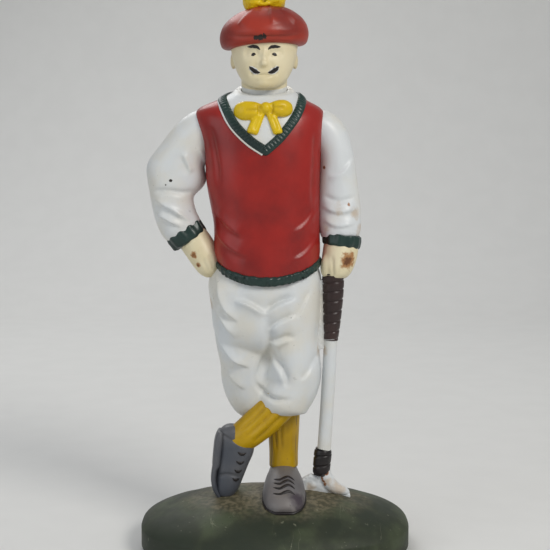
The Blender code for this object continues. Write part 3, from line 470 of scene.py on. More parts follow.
def enamel(name, coat, aged, gloss=0.36, specks=0.5, chips=0.35, seam=True, grime_and_shade=0.4, rust=(), stains=(),
           nicks=(), over=None):
    """Old enamel. rust, stains and nicks are (x, y, z, radius) in millimetres; over repaints the coat."""
    material, shader, coords = paint(name)
    mottle = coords.noise(38, 5).rise(0.38, 0.68) * 0.7
    color = mottle.between(coat, aged)
    if over:
        color = over(coords, mottle, color)
    # Carved hollows darken towards a grime brown, partly dirt and partly painted shade for light that does
    # not reach in.
    hollow = coords.node("Attribute", {"attribute_name": "hollow"}, output="Fac")
    dirt_and_shade = hollow * coords.noise(240, 3).rise(0.2, 0.75)
    color = (dirt_and_shade * grime_and_shade).between(color, GRIME_AND_SHADE)
    for *place, radius in stains:
        near = ragged(coords, place, 1.4 * radius, 260, 3)
        color = (near.rise(radius * MM, radius * 0.2 * MM) * 0.5).between(color, STAIN)
    cluster = coords.noise(38, 2).rise(0.46, 0.66)
    speck = coords.noise(760, 1).rise(0.73, 0.78) * cluster * specks
    chip = coords.noise(105, 5).rise(0.735, 0.75) * chips
    worn = speck + chip
    for *place, radius in nicks:
        edge = ragged(coords, place, 1.8 * radius, 520, 3)
        worn = worn.larger(edge.rise(radius * MM, radius * 0.75 * MM))
    color = worn.between(color, IRON_DARK)
    for *place, radius in rust:
        edge = ragged(coords, place, 1.5 * radius, 420, 4)
        ring = edge.rise(radius * MM, radius * 0.55 * MM)
        core = edge.rise(radius * 0.6 * MM, radius * 0.25 * MM)
        color = (core * 0.8).between((ring * 0.85).between(color, RUST), RUST_DARK)
        worn = worn.larger(ring)
    height = coords.noise(170, 3) * 0.5 + coords.noise(900, 2) * 0.08 - worn * 0.5
    if seam:
        depth = abs(coords.axis(1))
        line = depth.rise(0.45 * MM, 0.15 * MM) * coords.noise(130, 2).rise(0.25, 0.5)
        color = (line * 0.6).between(color, GRIME_AND_SHADE)
        height = height - line * 0.6
    shader["Specular IOR Level"].default_value = SHEEN
    plug(color, shader["Base Color"])
    plug(coords.noise(85, 3) * 0.2 + worn * 0.35 + dirt_and_shade * 0.25 + (gloss - 0.1), shader["Roughness"])
    bump = coords.node("Bump", {}, {"Strength": 0.35, "Distance": 0.6 * MM, "Height": height})
    plug(bump, shader["Normal"])
    return material


# %% [markdown]
# Four paints need more than the recipe. The trunk is red vest below the neck opening and white shirt in it,
# so a formula in x and z finds the V in front and the nape behind. The base is dusty near the feet, and
# smudged and scratched lower down. The neck is white up to the collar, and the front shoe has a dark patch
# on its toe. Each is a small function that repaints the coat.

# %% Paints with a second colour
WHITE, CREAM = srgb(212, 216, 218), srgb(216, 211, 197)
RED, RED_DARK = srgb(154, 34, 28), srgb(110, 26, 25)
GREEN, GREEN_DARK = srgb(36, 58, 53), srgb(22, 34, 34)
V_X, V_Z, V_SLOPE, V_BEND, V_SKEW = -5.6, 231.3, 0.76, 15.5, 0.08
NAPE_Z, NAPE_SLOPE = 260.2, 0.16
SHOULDER_Y = -6.0
DUST_LOW, DUST_HIGH, DUST_WANDER = 15.0, 24.0, 9.0
SCRATCH_STRETCH = (1.0, 0.12, 0.5)
COLLAR_TOP, COLLAR_FALL = 269.6, 0.27
TOE_PATCH, TOE_PATCH_OUTER, TOE_PATCH_INNER, TOE_PATCH_WANDER = (12.5, -33.0, 24.0), 8.0, 3.0, 6.0


def shirt_over(coords, mottle, color):
    x, y, z = [coords.axis(index) for index in range(3)]
    aside = abs(x - V_X * MM) + (x - V_X * MM) * V_SKEW
    front = aside * V_SLOPE + aside * aside * V_BEND + (V_Z + SKIRT) * MM
    nape = aside * NAPE_SLOPE + (NAPE_Z + SKIRT) * MM
    behind = y.rise(SHOULDER_Y * MM, 0)
    edge = front * (1 - behind) + nape * behind
    return (z - edge).rise(-0.15 * MM, 0.15 * MM).between(color, mottle.between(WHITE, CREAM))


def dust_over(coords, mottle, color):
    high = coords.axis(2) + (coords.noise(60, 4) - 0.5) * (DUST_WANDER * MM)
    dust = high.rise((DUST_LOW + SKIRT) * MM, (DUST_HIGH + SKIRT) * MM)
    grit = coords.noise(380, 5).rise(0.36, 0.66)
    color = (dust * 0.85).between(color, grit.between(srgb(80, 76, 58), srgb(124, 115, 92)))
    drawn = coords.node("VectorMath", {"operation": "MULTIPLY"}, {0: coords, 1: SCRATCH_STRETCH})
    lines = abs(drawn.noise(150, 4) - 0.5).rise(0.012, 0.002) * coords.noise(46, 4).rise(0.56, 0.70)
    smudge = coords.noise(40, 7).rise(0.47, 0.70)
    color = (smudge * 0.75).between(color, srgb(68, 78, 54))
    splash = coords.noise(300, 3).rise(0.66, 0.72) * coords.noise(30, 3).rise(0.50, 0.62)
    return (lines * 0.5).larger(splash * 0.6).between(color, srgb(132, 134, 112))


def collar_over(coords, mottle, color):
    low = (COLLAR_TOP + SKIRT) * MM - coords.axis(2) + coords.axis(1) * COLLAR_FALL
    return low.rise(-0.3 * MM, 0.3 * MM).between(color, mottle.between(WHITE, CREAM))


# A dark patch on the front shoe's toe.
def toe_patch_over(coords, mottle, color):
    near = ragged(coords, TOE_PATCH, TOE_PATCH_WANDER, 300, 3)
    return (near.rise(TOE_PATCH_OUTER * MM, TOE_PATCH_INNER * MM) * 0.85).between(color, srgb(58, 48, 58))


# %% Mix the paints
# Old white enamel keeps only a little dirt and painted shade in its hollows.
OLD_WHITE = {"coat": WHITE, "aged": CREAM, "gloss": 0.36, "specks": 0.3, "chips": 0.15, "grime_and_shade": 0.08}
vest_paint = enamel("vest_enamel", RED, RED_DARK, gloss=0.34, specks=0.25, chips=0.3, over=shirt_over)
cap_paint = enamel(
    "cap_enamel", srgb(162, 52, 36), srgb(104, 32, 28), gloss=0.42, chips=0.6, seam=False,
    nicks=[(-11.2, -25.2, 295.4, 2.1), (-8.6, -25.4, 295.9, 2.4), (-6.2, -25.4, 296.3, 1.9)])
white_paint = enamel(
    "trouser_enamel", **OLD_WHITE, stains=[(27, -8, 112, 6), (28, -8, 124, 5), (-38, -6, 140, 5)],
    nicks=[(-0.2, -26, 98.5, 0.8), (15.5, -22, 110.5, 0.5), (9.4, -27, 134, 0.5)])
sleeve_paint = enamel(
    "sleeve_enamel", **OLD_WHITE, nicks=[(-61.6, -13.5, 213.6, 1.2), (-64.5, -13, 211, 0.5)],
    rust=[(43.5, -11, 199, 1.6), (50.4, -3, 188, 1.8), (29, -8, 221, 1.2)],
    stains=[(38, -11, 197, 5), (47, -9, 194, 5), (50, -5, 184, 6), (31, -9, 185, 4)])
web_paint = enamel(
    "web_enamel", WHITE, CREAM, gloss=0.42, chips=0.5,
    rust=[(31, -11, 36.4, 2.2), (28.4, -11, 32.6, 1.7), (29.2, -11, 30.8, 1.7), (30.2, -11, 29, 1.6),
          (25.6, -9, 145, 1.6)],
    stains=[(22, -9, 27, 4), (32, -11, 31, 3), (38, -11, 26, 7)])
skin_paint = enamel(
    "skin_enamel", srgb(228, 218, 186), srgb(214, 200, 160), gloss=0.40, specks=0.3,
    rust=[(-48, -12.5, 169.5, 2.6), (-45.5, -12, 163.5, 2), (43.5, -14, 166, 6)])
# The head's hollows take a little dirt and painted shade.
head_paint = enamel("head_enamel", srgb(224, 213, 180), srgb(212, 198, 156), gloss=0.40, specks=0.3,
                    grime_and_shade=0.2, seam=False, over=collar_over)
trim_paint = enamel("trim_enamel", GREEN, GREEN_DARK, gloss=0.32, specks=0.2, chips=0.2)
tie_paint = enamel("tie_enamel", srgb(222, 190, 14), srgb(202, 164, 14), gloss=0.38, specks=0.3, seam=False)
stocking_paint = enamel("stocking_enamel", srgb(192, 154, 2), srgb(156, 120, 2), gloss=0.40)
shoe_paint = enamel("shoe_enamel", srgb(72, 76, 84), srgb(96, 96, 98), gloss=0.42, chips=0.5)
front_shoe_paint = enamel("front_shoe_enamel", srgb(104, 102, 104), srgb(126, 120, 116), gloss=0.42,
                          chips=0.5, over=toe_patch_over)
base_paint = enamel("base_enamel", srgb(37, 45, 32), srgb(48, 52, 36), gloss=0.60, seam=False,
                    over=dust_over)
grip_paint = enamel("grip_enamel", srgb(60, 43, 40), srgb(40, 30, 30), gloss=0.36, specks=0.2)
ink_paint = enamel("ink_enamel", srgb(36, 31, 31), srgb(24, 21, 21), gloss=0.38, specks=0.0, chips=0.2,
                   seam=False)
print("paints:", len(bpy.data.materials))


def dress(piece, material, body, slot, *nodes):
    """Paint a piece, let it ride on a body and stand for CAD nodes."""
    piece.data.materials.clear()
    piece.data.materials.append(material)
    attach(piece, body)
    if nodes:
        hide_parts(*nodes)
    print(piece.name, len(piece.data.polygons), "faces")


FIGURE = ("figure_front", "figure_back")


def dress_figure(piece, material, slot):
    """Dress a piece of the figure, which stands still, in place of both halves of the casting."""
    dress(piece, material, "bank", slot, *FIGURE)


# %% [markdown]
# ## Base
# The base is a straight skirt with a flat dome on it, oval but fuller than an ellipse, thin walled and open
# below. Its rings follow one formula, and behind the feet it falls away a little faster. The notch for the
# thumb lever is cut at its back, and a little noise lumps the top, where old dust and paint have built up.

# %% Tools that cut
CUT_ANGLE = math.radians(50)


def box_shape(low, high):
    """A box between two corners in millimetres."""
    shape = bmesh.new()
    bmesh.ops.create_cube(shape, size=1)
    low, high = spot(*low), spot(*high)
    bmesh.ops.scale(shape, vec=high - low, verts=shape.verts)
    bmesh.ops.translate(shape, vec=(low + high) / 2, verts=shape.verts)
    return shape


def cut(piece, *shapes):
    """Take shapes out of a piece with the Boolean modifier, one after the other, and keep edges crisp."""
    for shape in shapes:
        tool = new_piece("cutter", shape)
        boolean = piece.modifiers.new("cut", "BOOLEAN")
        boolean.operation = "DIFFERENCE"
        boolean.solver = "EXACT"
        boolean.object = tool
        bake(piece)
        bpy.data.objects.remove(tool)
    piece.data.set_sharp_from_angle(angle=CUT_ANGLE)


# %% Dome the base
BASE_HALF_WIDTH, BASE_HALF_DEPTH, DOME_HEIGHT = 82.0, 60.0, 22.7
BASE_ROUNDNESS, DOME_FALL, BACK_FALL = 2.6, 0.70, 0.38
RIM = 3.3
LEVER_NOTCH = ((0.9, 42.0, 3.5 - SKIRT), (9.9, 80.0, 13.0 - SKIRT))
DOME_STEPS = 40
SHELL = 4.0
LUMP_START, LUMP_SPAN = 10.0, 8.0


def mound(inset, floor):
    """The base's form, smaller by an inset: rings up the skirt from a floor, then over the dome."""
    levels = [(floor - SKIRT, 1.0), (floor / 2 - SKIRT / 2 + RIM / 2, 1.0)]
    for step in range(DOME_STEPS):
        angle = math.pi / 2 * math.sin(math.pi / 2 * step / (DOME_STEPS - 0.7))
        levels.append((RIM + (DOME_HEIGHT - inset) * math.sin(angle) ** (2 * DOME_FALL), math.cos(angle)))
    rings = [level_ring(0, 0, z, (BASE_HALF_WIDTH - inset) * share, (BASE_HALF_DEPTH - inset) * share)
             for z, share in levels]
    shape = loft(rings, 96, squared(BASE_ROUNDNESS))
    shoulder = (RIM + SKIRT) * MM
    for vertex in shape.verts:
        back = max(vertex.co.y / (BASE_HALF_DEPTH * MM), 0.0)
        vertex.co.z -= max(vertex.co.z - shoulder, 0.0) * BACK_FALL * back
    return shape


def near_top(place):
    return min(max((place.z / MM - SKIRT - LUMP_START) / LUMP_SPAN, 0.0), 1.0)


dome = new_piece("dome", mound(0, RIM))
roughen(dome, 9, 0.5, near_top)
cut(dome, mound(SHELL, RIM - SHELL / 2), box_shape(*LEVER_NOTCH))
dress(dome, base_paint, "bank", "green_enamel", "base_dome")

# %% [markdown]
# ## Vest and shirt
# The trunk is one upright bulk. Its lower edge dips in the middle, so the lowest rings are bent down there
# before the bulk is melted. The shirt shows in the neck opening and is the same skin in white, and the
# knitted edge that comes later hides where the two paints meet.

# %% Shape the trunk
TRUNK = [
    (153, -4, 30, 29.8, 26.5), (160, -4.4, 31, 30.3, 27), (170, -5, 32.2, 30, 26.5),
    (187, -5, 31.8, 29, 26), (212, -7, 34, 29.5, 26.5), (232, -7.3, 35, 29, 27),
    (248, -8.8, 38.5, 26.5, 26), (255.5, -9, 37, 22.5, 22.5), (260.5, -8, 27.5, 19, 19),
    (264, -6.8, 21, 16.8, 17.6), (267.5, -6.4, 16.8, 15.6, 16.4), (272, -6.4, 15.2, 15.2, 15.4),
]
HEM_LOW, HEM_RISE, HEM_MIDDLE, HEM_HALF, HEM_BEND = 153.0, 9.0, -5.0, 30.0, 22.0
NECK_X, COLLAR_Z, COLLAR_SLOPE = -6.4, 267.2, 15.0
TRUNK_ROUNDNESS = 2.4


def hem_z(x):
    """Height of the vest's lower edge at a sideways place, all in millimetres."""
    return HEM_LOW + HEM_RISE * min(abs(x - HEM_MIDDLE) / HEM_HALF, 1.0) ** 2


trunk_bulk = upright(TRUNK, sides=64, roundness=TRUNK_ROUNDNESS)
for vertex in trunk_bulk.verts:
    share = max(0.0, 1 - (vertex.co.z / MM - SKIRT - HEM_LOW) / HEM_BEND)
    vertex.co.z += (hem_z(vertex.co.x / MM) - HEM_LOW) * share * MM
trunk = cast("vest", [trunk_bulk], grain=1.0, rubs=6)

carve(trunk, front=[
    (3.2, 1, 0.7, (-36, 196), (-28, 187), (-18, 180)),
    (3.2, 1.1, 0.7, (-36, 183), (-28, 175), (-16, 169)),
    (3, 0.8, 0.7, (24, 199), (18, 190), (10, 184)),
    (3, 0.8, 0.7, (24, 181), (18, 173), (10, 168)),
    (1.6, -0.9, 0, (-38, 246), (-36, 236), (-33.5, 222), (-33, 208)),
    (1.6, -0.9, 0, (23, 244), (23.5, 232), (22.5, 214), (22, 196)),
], back=[
    (3.2, 1, 0.7, (-36, 190), (-22, 180), (-8, 178)),
    (3.2, 1, 0.7, (24, 188), (14, 178), (4, 176)),
    (3.4, 0.8, 0.6, (-34, 174), (-20, 166), (0, 165), (16, 168), (24, 174)),
])

# %% [markdown]
# The neck opening, the coin slot and a screw hole at the back are cut with Boolean modifiers, and so is the
# hollow, because the coins have to fall somewhere and the slot should look as deep as it is. The head's tail
# swings up behind the neck when it nods, so it gets room too.

# %% Hollow and open the trunk
WALL = 4.0
NECK_HOLE, SCREW_HOLE, ROD_HOLE = 14.1, 4.5, 2.0
ROD_X, ROD_Y = 5.4, 8.0
SLOT = ((-10.0, 15.0, 198.0), (-5.0, 40.0, 232.0))
TAIL_ROOM = ((-12.0, -2.0, 246.0), (11.5, 17.5, 251.5))


def tube_shape(start, end, radius, sides=40):
    """A closed cylinder between two points, in millimetres."""
    start, end = spot(*start), spot(*end)
    shape = bmesh.new()
    turn = (end - start).to_track_quat("Z", "Y").to_matrix().to_4x4()
    bmesh.ops.create_cone(shape, cap_ends=True, segments=sides, radius1=radius * MM, radius2=radius * MM,
                          depth=(end - start).length, matrix=Matrix.Translation((start + end) / 2) @ turn)
    return shape


def rod_hole(low, high):
    """The bore that the push rod slides in, between two heights."""
    return tube_shape((ROD_X, ROD_Y, low), (ROD_X, ROD_Y, high), ROD_HOLE, 20)


def screw_hole(x, y, z):
    """A counterbore for a screw's head, open to the back."""
    return tube_shape((x, y, z), (x, 60, z), SCREW_HOLE)


def collar_plane():
    """A big box whose sloping underside trims the collar, lower in front."""
    shape = box_shape((-100, -100, -SKIRT), (100, 100, 60))
    bmesh.ops.rotate(shape, matrix=Matrix.Rotation(math.radians(COLLAR_SLOPE), 3, "X"), verts=shape.verts)
    bmesh.ops.translate(shape, vec=spot(0, 0, COLLAR_Z), verts=shape.verts)
    return shape


hollow = [(z, x, half - WALL, front - WALL, back - WALL) for z, x, half, front, back in TRUNK[1:7]]
cut(trunk, upright(hollow, sides=48, roundness=TRUNK_ROUNDNESS),
    tube_shape((NECK_X, 0, 245), (NECK_X, 0, 300), NECK_HOLE), collar_plane(), box_shape(*SLOT),
    box_shape(*TAIL_ROOM), screw_hole(-27, 21, 230))
dress_figure(trunk, vest_paint, "red_enamel")

# %% [markdown]
# ## Plus-fours
# Baggy golf trousers gathered below the knee. A bulk for the hips and one for each leg melt together, and
# leaning strokes lay in the soft folds that run from the crotch and the hanging folds above the knees.

# %% Shape the trousers
HIPS = [
    (108, -5, 20, 15, 14), (116, -5, 28.5, 23.5, 22.5), (124, -5.2, 32.2, 27.5, 27),
    (132, -5.4, 33.2, 28.5, 28.8), (146, -6, 34.2, 28.5, 28), (152.5, -6, 34.2, 27.3, 26.5),
    (159, -5.5, 32.5, 25, 24), (166, -4.5, 28, 21, 20),
]
STANDING_THIGH = [
    (-19.5, 2, 134, 24, 18.5), (-18.5, 2, 118, 22.5, 18.2), (-16, 2.5, 104, 21, 17.7),
    (-14.6, 3, 95, 19.5, 18.6), (-12, 3.5, 87, 18, 19), (-8.4, 4.5, 79.5, 16.5, 17.6),
    (-5, 5, 74.5, 13, 13),
]
CROSSED_THIGH = [
    (10.5, -2, 134, 23, 16.5), (10.5, -2, 120, 22.5, 16.2), (11, -2.5, 107, 22.5, 16.2),
    (11, -3, 98, 22, 17.2), (10, -3.6, 90, 21, 16.8), (6, -5.5, 81.5, 19.5, 16),
    (4, -6, 76.5, 17.5, 15.2), (3.5, -6, 73.5, 13, 11.8),
]
trousers = cast("trousers", [upright(HIPS, sides=64, roundness=TRUNK_ROUNDNESS), limb(STANDING_THIGH),
                             limb(CROSSED_THIGH)], grain=0.75, rubs=10)
carve(trousers, front=[
    (2.8, -2.8, 0, (-6, 137), (-3.8, 129.5), (-3.3, 120.6), (-3.8, 112), (-6, 106), (-9.3, 98), (-12, 91)),
    (2.8, 2.8, 0.7, (-5, 136), (-11.4, 140.6), (-16.8, 143.4), (-24.4, 144.8)),
    (2.8, -2.8, 0.7, (-6, 136), (-0.6, 140.6), (4.9, 143.4), (13, 145.4)),
    (2.8, 2.6, 0.7, (-35.4, 158), (-33.6, 147.9), (-30.9, 140.6), (-27.6, 135.6), (-21.6, 130.6)),
    (2.6, 2.5, 0.7, (-38.8, 146), (-35.7, 139), (-31.9, 131.7), (-28.2, 126.2), (-22.8, 120)),
    (2.8, 2.7, 0.7, (-36.2, 124.5), (-31.9, 116.2), (-27.6, 109.5), (-22.8, 105.1), (-14.4, 101.8)),
    (3, 1, 0.6, (-30, 99), (-25, 93), (-18, 88)),
    (2.4, -2, 0.7, (-3.4, 125.4), (1.1, 130.1), (6.4, 132.9), (13.2, 135.6)),
    (2.6, -2.1, 0.7, (-4.2, 116.4), (1.1, 118.4), (5.9, 120.6), (12, 121.4)),
    (2.6, -2.6, 0.7, (-3, 111.6), (1.1, 105.1), (3.7, 101.2), (5.4, 96.8), (5.8, 90.4)),
    (1.6, -2.6, 0.1, (-13.2, 94.2), (-8.7, 89), (-4.4, 85.7), (0.5, 84), (12, 84)),
    (3, -1.2, 0.6, (15, 95), (21, 101), (27, 111)),
    (3, -1, 0.6, (13, 132), (17, 141), (22, 150)),
], back=[
    (2.2, -2, 0, (-4, 142), (-4, 124), (-4, 104), (-4, 88)),
    (3.2, 1.4, 0.7, (-28, 130), (-16, 124), (-5, 122)),
    (3.2, 1.4, 0.7, (20, 130), (8, 124), (-3, 122)),
    (3.4, 1.5, 0.7, (-32, 108), (-20, 100), (-8, 97)),
    (3.4, 1.5, 0.7, (26, 106), (16, 98), (2, 95)),
])
cut(trousers, rod_hole(60, 175), screw_hole(-15, 23, 138))
dress_figure(trousers, white_paint, "white_enamel")

# %% [markdown]
# ## Sleeves and hands
# One arm bends to the hip, the other hangs down to the club. Each sleeve is a limb bulk that runs a little
# way into the trunk, and puffs out over its cuff. The hands are simple mitten-like castings.

# %% Shape the sleeves
SLEEVE_ON_HIP = [
    (-36, 0, 247, 11, 11), (-46, 0, 241, 12.8, 13), (-54.8, 0, 229, 13.4, 14.5),
    (-59.2, 0, 217, 13.4, 18.5), (-61.8, -1, 204, 13, 13.2), (-59.4, -1.5, 191.5, 12.4, 12.6),
    (-55.8, -2, 184.5, 11.6, 12.4), (-53.6, -2.2, 181, 9.5, 10.5),
]
SLEEVE_WITH_CLUB = [
    (24, 0, 247, 11, 10), (31.2, 0, 241.5, 11.5, 11), (36.6, -0.5, 228, 11.2, 10.6),
    (37.7, -1, 209, 11, 12.2), (38.6, -2, 193, 11.2, 13.2), (39, -3, 184, 11.6, 12.6),
    (39.2, -3.5, 179, 10.4, 11.2),
]
hip_sleeve = cast("sleeve_on_hip", [limb(SLEEVE_ON_HIP)], grain=0.9, rubs=5)
carve(hip_sleeve, front=[
    (1.7, -2, 0.2, (-75, 206.6), (-68, 207.2), (-61.6, 207.2), (-55, 206.1), (-47, 206.6)),
    (1.9, 1.9, 0.6, (-73, 202.4), (-66, 198.6), (-60.8, 195.6), (-55.6, 191.9), (-50.4, 189)),
    (1.9, 1.7, 0.6, (-71, 193.4), (-66, 191), (-61.6, 188.6), (-54.4, 185.2)),
    (2.2, 1.4, 0.6, (-55.4, 230), (-52.7, 224), (-50.2, 217)),
    (2.2, 0.7, 0.6, (-46.4, 233), (-43.2, 227), (-42, 221)),
], back=[
    (2.2, -1.3, 0.2, (-74, 208), (-64, 205), (-54, 207)),
    (2.8, 1, 0.7, (-66, 222), (-57, 217), (-48, 216)),
])
dress_figure(hip_sleeve, sleeve_paint, "white_enamel")
club_sleeve = cast("sleeve_with_club", [limb(SLEEVE_WITH_CLUB)], grain=0.9, rubs=5)
carve(club_sleeve, front=[
    (1.8, -1.4, 0.2, (28, 204), (38, 201), (49, 204)),
    (2.8, 1.2, 0.7, (27, 198), (38, 194), (50, 197)),
    (2.6, 0.9, 0.7, (46, 228), (40, 219), (31, 216)),
    (2.4, 1, 0.7, (28, 190), (37, 186), (49, 188)),
], back=[
    (2, -1.2, 0.2, (28, 205), (37, 202), (48, 206)),
    (2.6, 0.9, 0.7, (28, 196), (38, 192), (50, 195)),
])
dress_figure(club_sleeve, sleeve_paint, "white_enamel")

# %% Shape the hands
HAND_ON_HIP = [
    (-51.4, -2.5, 181, 8, 9.2), (-47.6, -3.5, 176.4, 8.8, 9.6), (-43.8, -4.5, 170.6, 9.4, 9.4),
    (-40.8, -5, 164.8, 9.2, 8.6), (-38.8, -5, 159.4, 7.6, 6.8), (-37.8, -5, 155.8, 3.8, 3.4),
]
HAND_ON_CLUB = [
    (39.6, -4, 178, 9, 10.2), (39.4, -4.6, 172, 10.4, 10.6), (38, -5.2, 165, 10.8, 10.2),
    (36.4, -6, 159, 9.6, 8.6), (35.4, -6.6, 155.6, 7.6, 5.6), (35, -7, 153, 4, 2.4),
]
hip_hand = cast("hand_on_hip", [limb(HAND_ON_HIP), egg((-45.6, -7.5, 164.0), (2.8, 3.2, 4.6), (-35, "Y"))],
                grain=0.7, rubs=4)
carve(hip_hand, front=[
    (1.2, -0.6, 0, (-43.5, 169), (-41.2, 163), (-39.4, 158)),
    (1.2, -0.5, 0, (-39.4, 170), (-37.4, 164.5), (-36.4, 160)),
])
dress_figure(hip_hand, skin_paint, "flesh_enamel")
club_hand = cast("hand_on_club", [limb(HAND_ON_CLUB), egg((30.5, -9.5, 163), (3.4, 4.0, 7.4), (6, "Y"))],
                 grain=0.7, rubs=4)
carve(club_hand, front=[
    (1.1, -0.7, 0, (33.6, 170), (34.3, 162), (34.9, 155)),
    (1.1, -0.4, 0, (38.6, 169), (38, 162), (36.4, 156)),
    (1.1, -0.4, 0, (43.2, 169), (41.6, 163), (38.6, 157)),
])
dress_figure(club_hand, skin_paint, "flesh_enamel")

# %% [markdown]
# ## Stockings and shoes
# The legs are crossed at the ankle. The front leg slants down to a shoe that stands on its toe, the other
# leg stands upright with its shoe pointing at the viewer. The stockings wrinkle along the leg.

# %% Pull on the stockings
STANDING_SHIN = sharing(
    0, ROD_X, (6, 100, 10, 10), (6, 76, 10.2, 10.2), (6, 59, 9.8, 9.6), (5.5, 46, 9.4, 9),
    (4.5, 36, 9.4, 9))
CROSSED_SHIN = [
    (6, -8, 84, 8, 8.6), (3.6, -9.6, 80.6, 10.4, 11), (-5, -10.5, 71, 10.4, 10.6),
    (-14, -10.5, 63, 9.8, 10), (-21, -10.5, 57.5, 9, 9.2), (-26, -10.5, 54, 7.5, 7.5),
]
standing_stocking = cast("stocking_standing", [limb(STANDING_SHIN)], grain=0.8, rubs=4)
carve(standing_stocking, front=[
    (1.6, -1.2, 0.3, (-1.5, 72), (-1, 60), (0.5, 46)),
    (1.6, -1, 0.3, (3.4, 70), (3, 58), (3.6, 47)),
    (1.8, 0.7, 0, (9, 70), (9.5, 58), (9, 44)),
], back=[
    (1.8, -1, 0.3, (2, 72), (2, 58), (3, 46)),
])
cut(standing_stocking, rod_hole(20, 120))
dress_figure(standing_stocking, stocking_paint, "yellow_enamel")
crossed_stocking = cast("stocking_crossed", [limb(CROSSED_SHIN)], grain=0.8, rubs=4)
carve(crossed_stocking, front=[
    (1.7, -1.4, 0.3, (3, 81.5), (-8, 70), (-19, 60)),
    (1.7, -1.2, 0.3, (7, 77), (-4, 66), (-14, 56.5)),
    (1.6, -1.1, 0.3, (-3, 83), (-13, 72), (-22, 64)),
    (1.8, 0.7, 0, (6, 80), (-5, 69), (-16, 59)),
], back=[
    (1.8, -1, 0.3, (2, 81), (-8, 70), (-18, 60)),
])
dress_figure(crossed_stocking, stocking_paint, "yellow_enamel")

# %% Shape the shoes
SHOE_ON_TOE = [
    (23, -30, 5.2, 17.5, -3), (27, -29.2, 7.2, 18.8, -2.2), (33, -28, 8.4, 19.3, -1.7),
    (42, -25.8, 9.8, 19.3, -1.7), (50, -23.8, 11, 19.3, -1.7), (57, -23.9, 10.4, 19, -2),
    (63, -26, 7.4, 17.5, -3.5), (66, -26.6, 3.6, 15, -6),
]
SOLE_Y = -10.4
SOLE_ON_TOE = sharing(
    1, SOLE_Y, (-33.6, 22.2, 6.4, 1.4), (-36.2, 27.5, 8.2, 1.7), (-37.2, 34, 8.8, 1.8),
    (-36.4, 40.6, 8.8, 1.9), (-35.6, 42.4, 8.8, 2.6), (-34.8, 50, 8.8, 2.8), (-33.8, 58, 8.4, 2.8),
    (-32.8, 62.6, 6.8, 1.8))
STANDING_FOOT = sharing(
    0, ROD_X, (20, 29.6, 2.8, 2.8), (18.6, 29.6, 6.2, 6.2), (15, 29.5, 8.8, 8.6), (5, 29.6, 10, 9),
    (-6, 29.2, 11.5, 9.6), (-17, 26.8, 12.8, 9.8), (-27, 23.6, 12.6, 8.6), (-34.5, 20.8, 10.4, 7),
    (-38.2, 19.2, 5.6, 4.2))
STANDING_SOLE = sharing(
    0, ROD_X, (20.2, 24.4, 3.6, 1.6), (19, 24.4, 6.4, 2.6), (15, 24.4, 9.4, 3.2), (6, 25.2, 10.4, 2.9),
    (0, 26.4, 11.2, 1.9), (-15, 26, 13.4, 1.6), (-27, 23.4, 13.4, 1.6), (-35, 20.8, 11.2, 1.5),
    (-39.6, 18.8, 5.6, 1.1))
toe_shoe = cast("shoe_on_toe", [upright(SHOE_ON_TOE, sides=40, roundness=2.3)], grain=0.7, rubs=4)
carve(toe_shoe, front=[
    (0.8, -0.8, 0, (-33, 62), (-25, 58), (-15, 53)),
    (1, -0.8, 0, (-36, 36), (-28, 37.5), (-20, 35)),
])
dress_figure(toe_shoe, shoe_paint, "white_enamel")
toe_sole = cast("sole_on_toe", [limb(SOLE_ON_TOE, sides=36, outline=squared(3.0))], grain=0.55, rubs=2)
dress_figure(toe_sole, shoe_paint, "white_enamel")
standing_shoe = cast("shoe_standing", [limb(STANDING_FOOT, (1, 0, 0))], grain=0.7, rubs=4)
carve(standing_shoe, front=[
    (0.9, -0.7, 0, (-5, 27), (0, 29.6), (5.4, 30.2), (11, 29.6), (16, 27)),
])
cut(standing_shoe, rod_hole(10, 60))
dress_figure(standing_shoe, front_shoe_paint, "white_enamel")
standing_sole = cast("sole_standing", [limb(STANDING_SOLE, (1, 0, 0), sides=36)], grain=0.55, rubs=2)
cut(standing_sole, rod_hole(10, 60))
dress_figure(standing_sole, ink_paint, "white_enamel")

# %% [markdown]
# ## Club
# The grip is wound with a flat cord, so a narrow groove runs round it once per turn, at a slant. The outline
# function draws each point of a ring in by where it is on the winding. The bare shaft, a wrapped neck and
# the head follow. Thin cast webs tie the head to the shoe and the grip to the trousers, as foundries do with
# weak spots.

# %% Make the club
CLUB_Y = -7.2
GRIP = sharing(
    1, CLUB_Y, (34.9, 158, 6.2, 6.6), (34.7, 146, 6.2, 6.5), (34.2, 130, 5.6, 5.5),
    (33.6, 117.5, 4.6, 4.4))
SHAFT = sharing(
    1, CLUB_Y, (33.8, 124, 4.2, 4), (32.6, 96, 4.4, 4.1), (31, 68, 4.4, 4.1), (29.6, 46, 4.4, 4.2))
NECK_WRAP = sharing(
    1, CLUB_Y, (29.5, 50.5, 4.6, 4.6), (29.2, 48, 5.4, 5.4), (28.7, 42, 5.5, 5.4), (28.2, 36, 5.3, 5.2),
    (28, 34, 4.4, 4.4))
CLUB_FOOT = sharing(
    1, CLUB_Y, (29.6, 39, 4.2, 3.4), (30.4, 36, 4.4, 3.6), (31.4, 32.2, 4.6, 4.1), (33.4, 28.6, 4.6, 4.4),
    (36.9, 25.9, 4.4, 3.9), (41, 24.4, 3.8, 3.2), (44, 23, 2.6, 2.2), (45.4, 22.2, 1.2, 1))
WEB_FLOOR = 15.0
WEB_TOP = [
    (14.5, 29), (17.5, 30.6), (19.6, 30), (21.2, 32.2), (22.6, 35), (24, 33), (27, 34), (30, 31),
    (34, 27.6), (38, 25.2), (42, 23.4), (45.6, 22.4),
]
WEB_HALF = 2.0
WEB = [(x, CLUB_Y, (top + WEB_FLOOR) / 2, WEB_HALF, (top - WEB_FLOOR) / 2) for x, top in WEB_TOP]
GRIP_BRIDGE = ((21, -9, 112), (30, -5.4, 154))
GROOVE_SHARE = 0.4


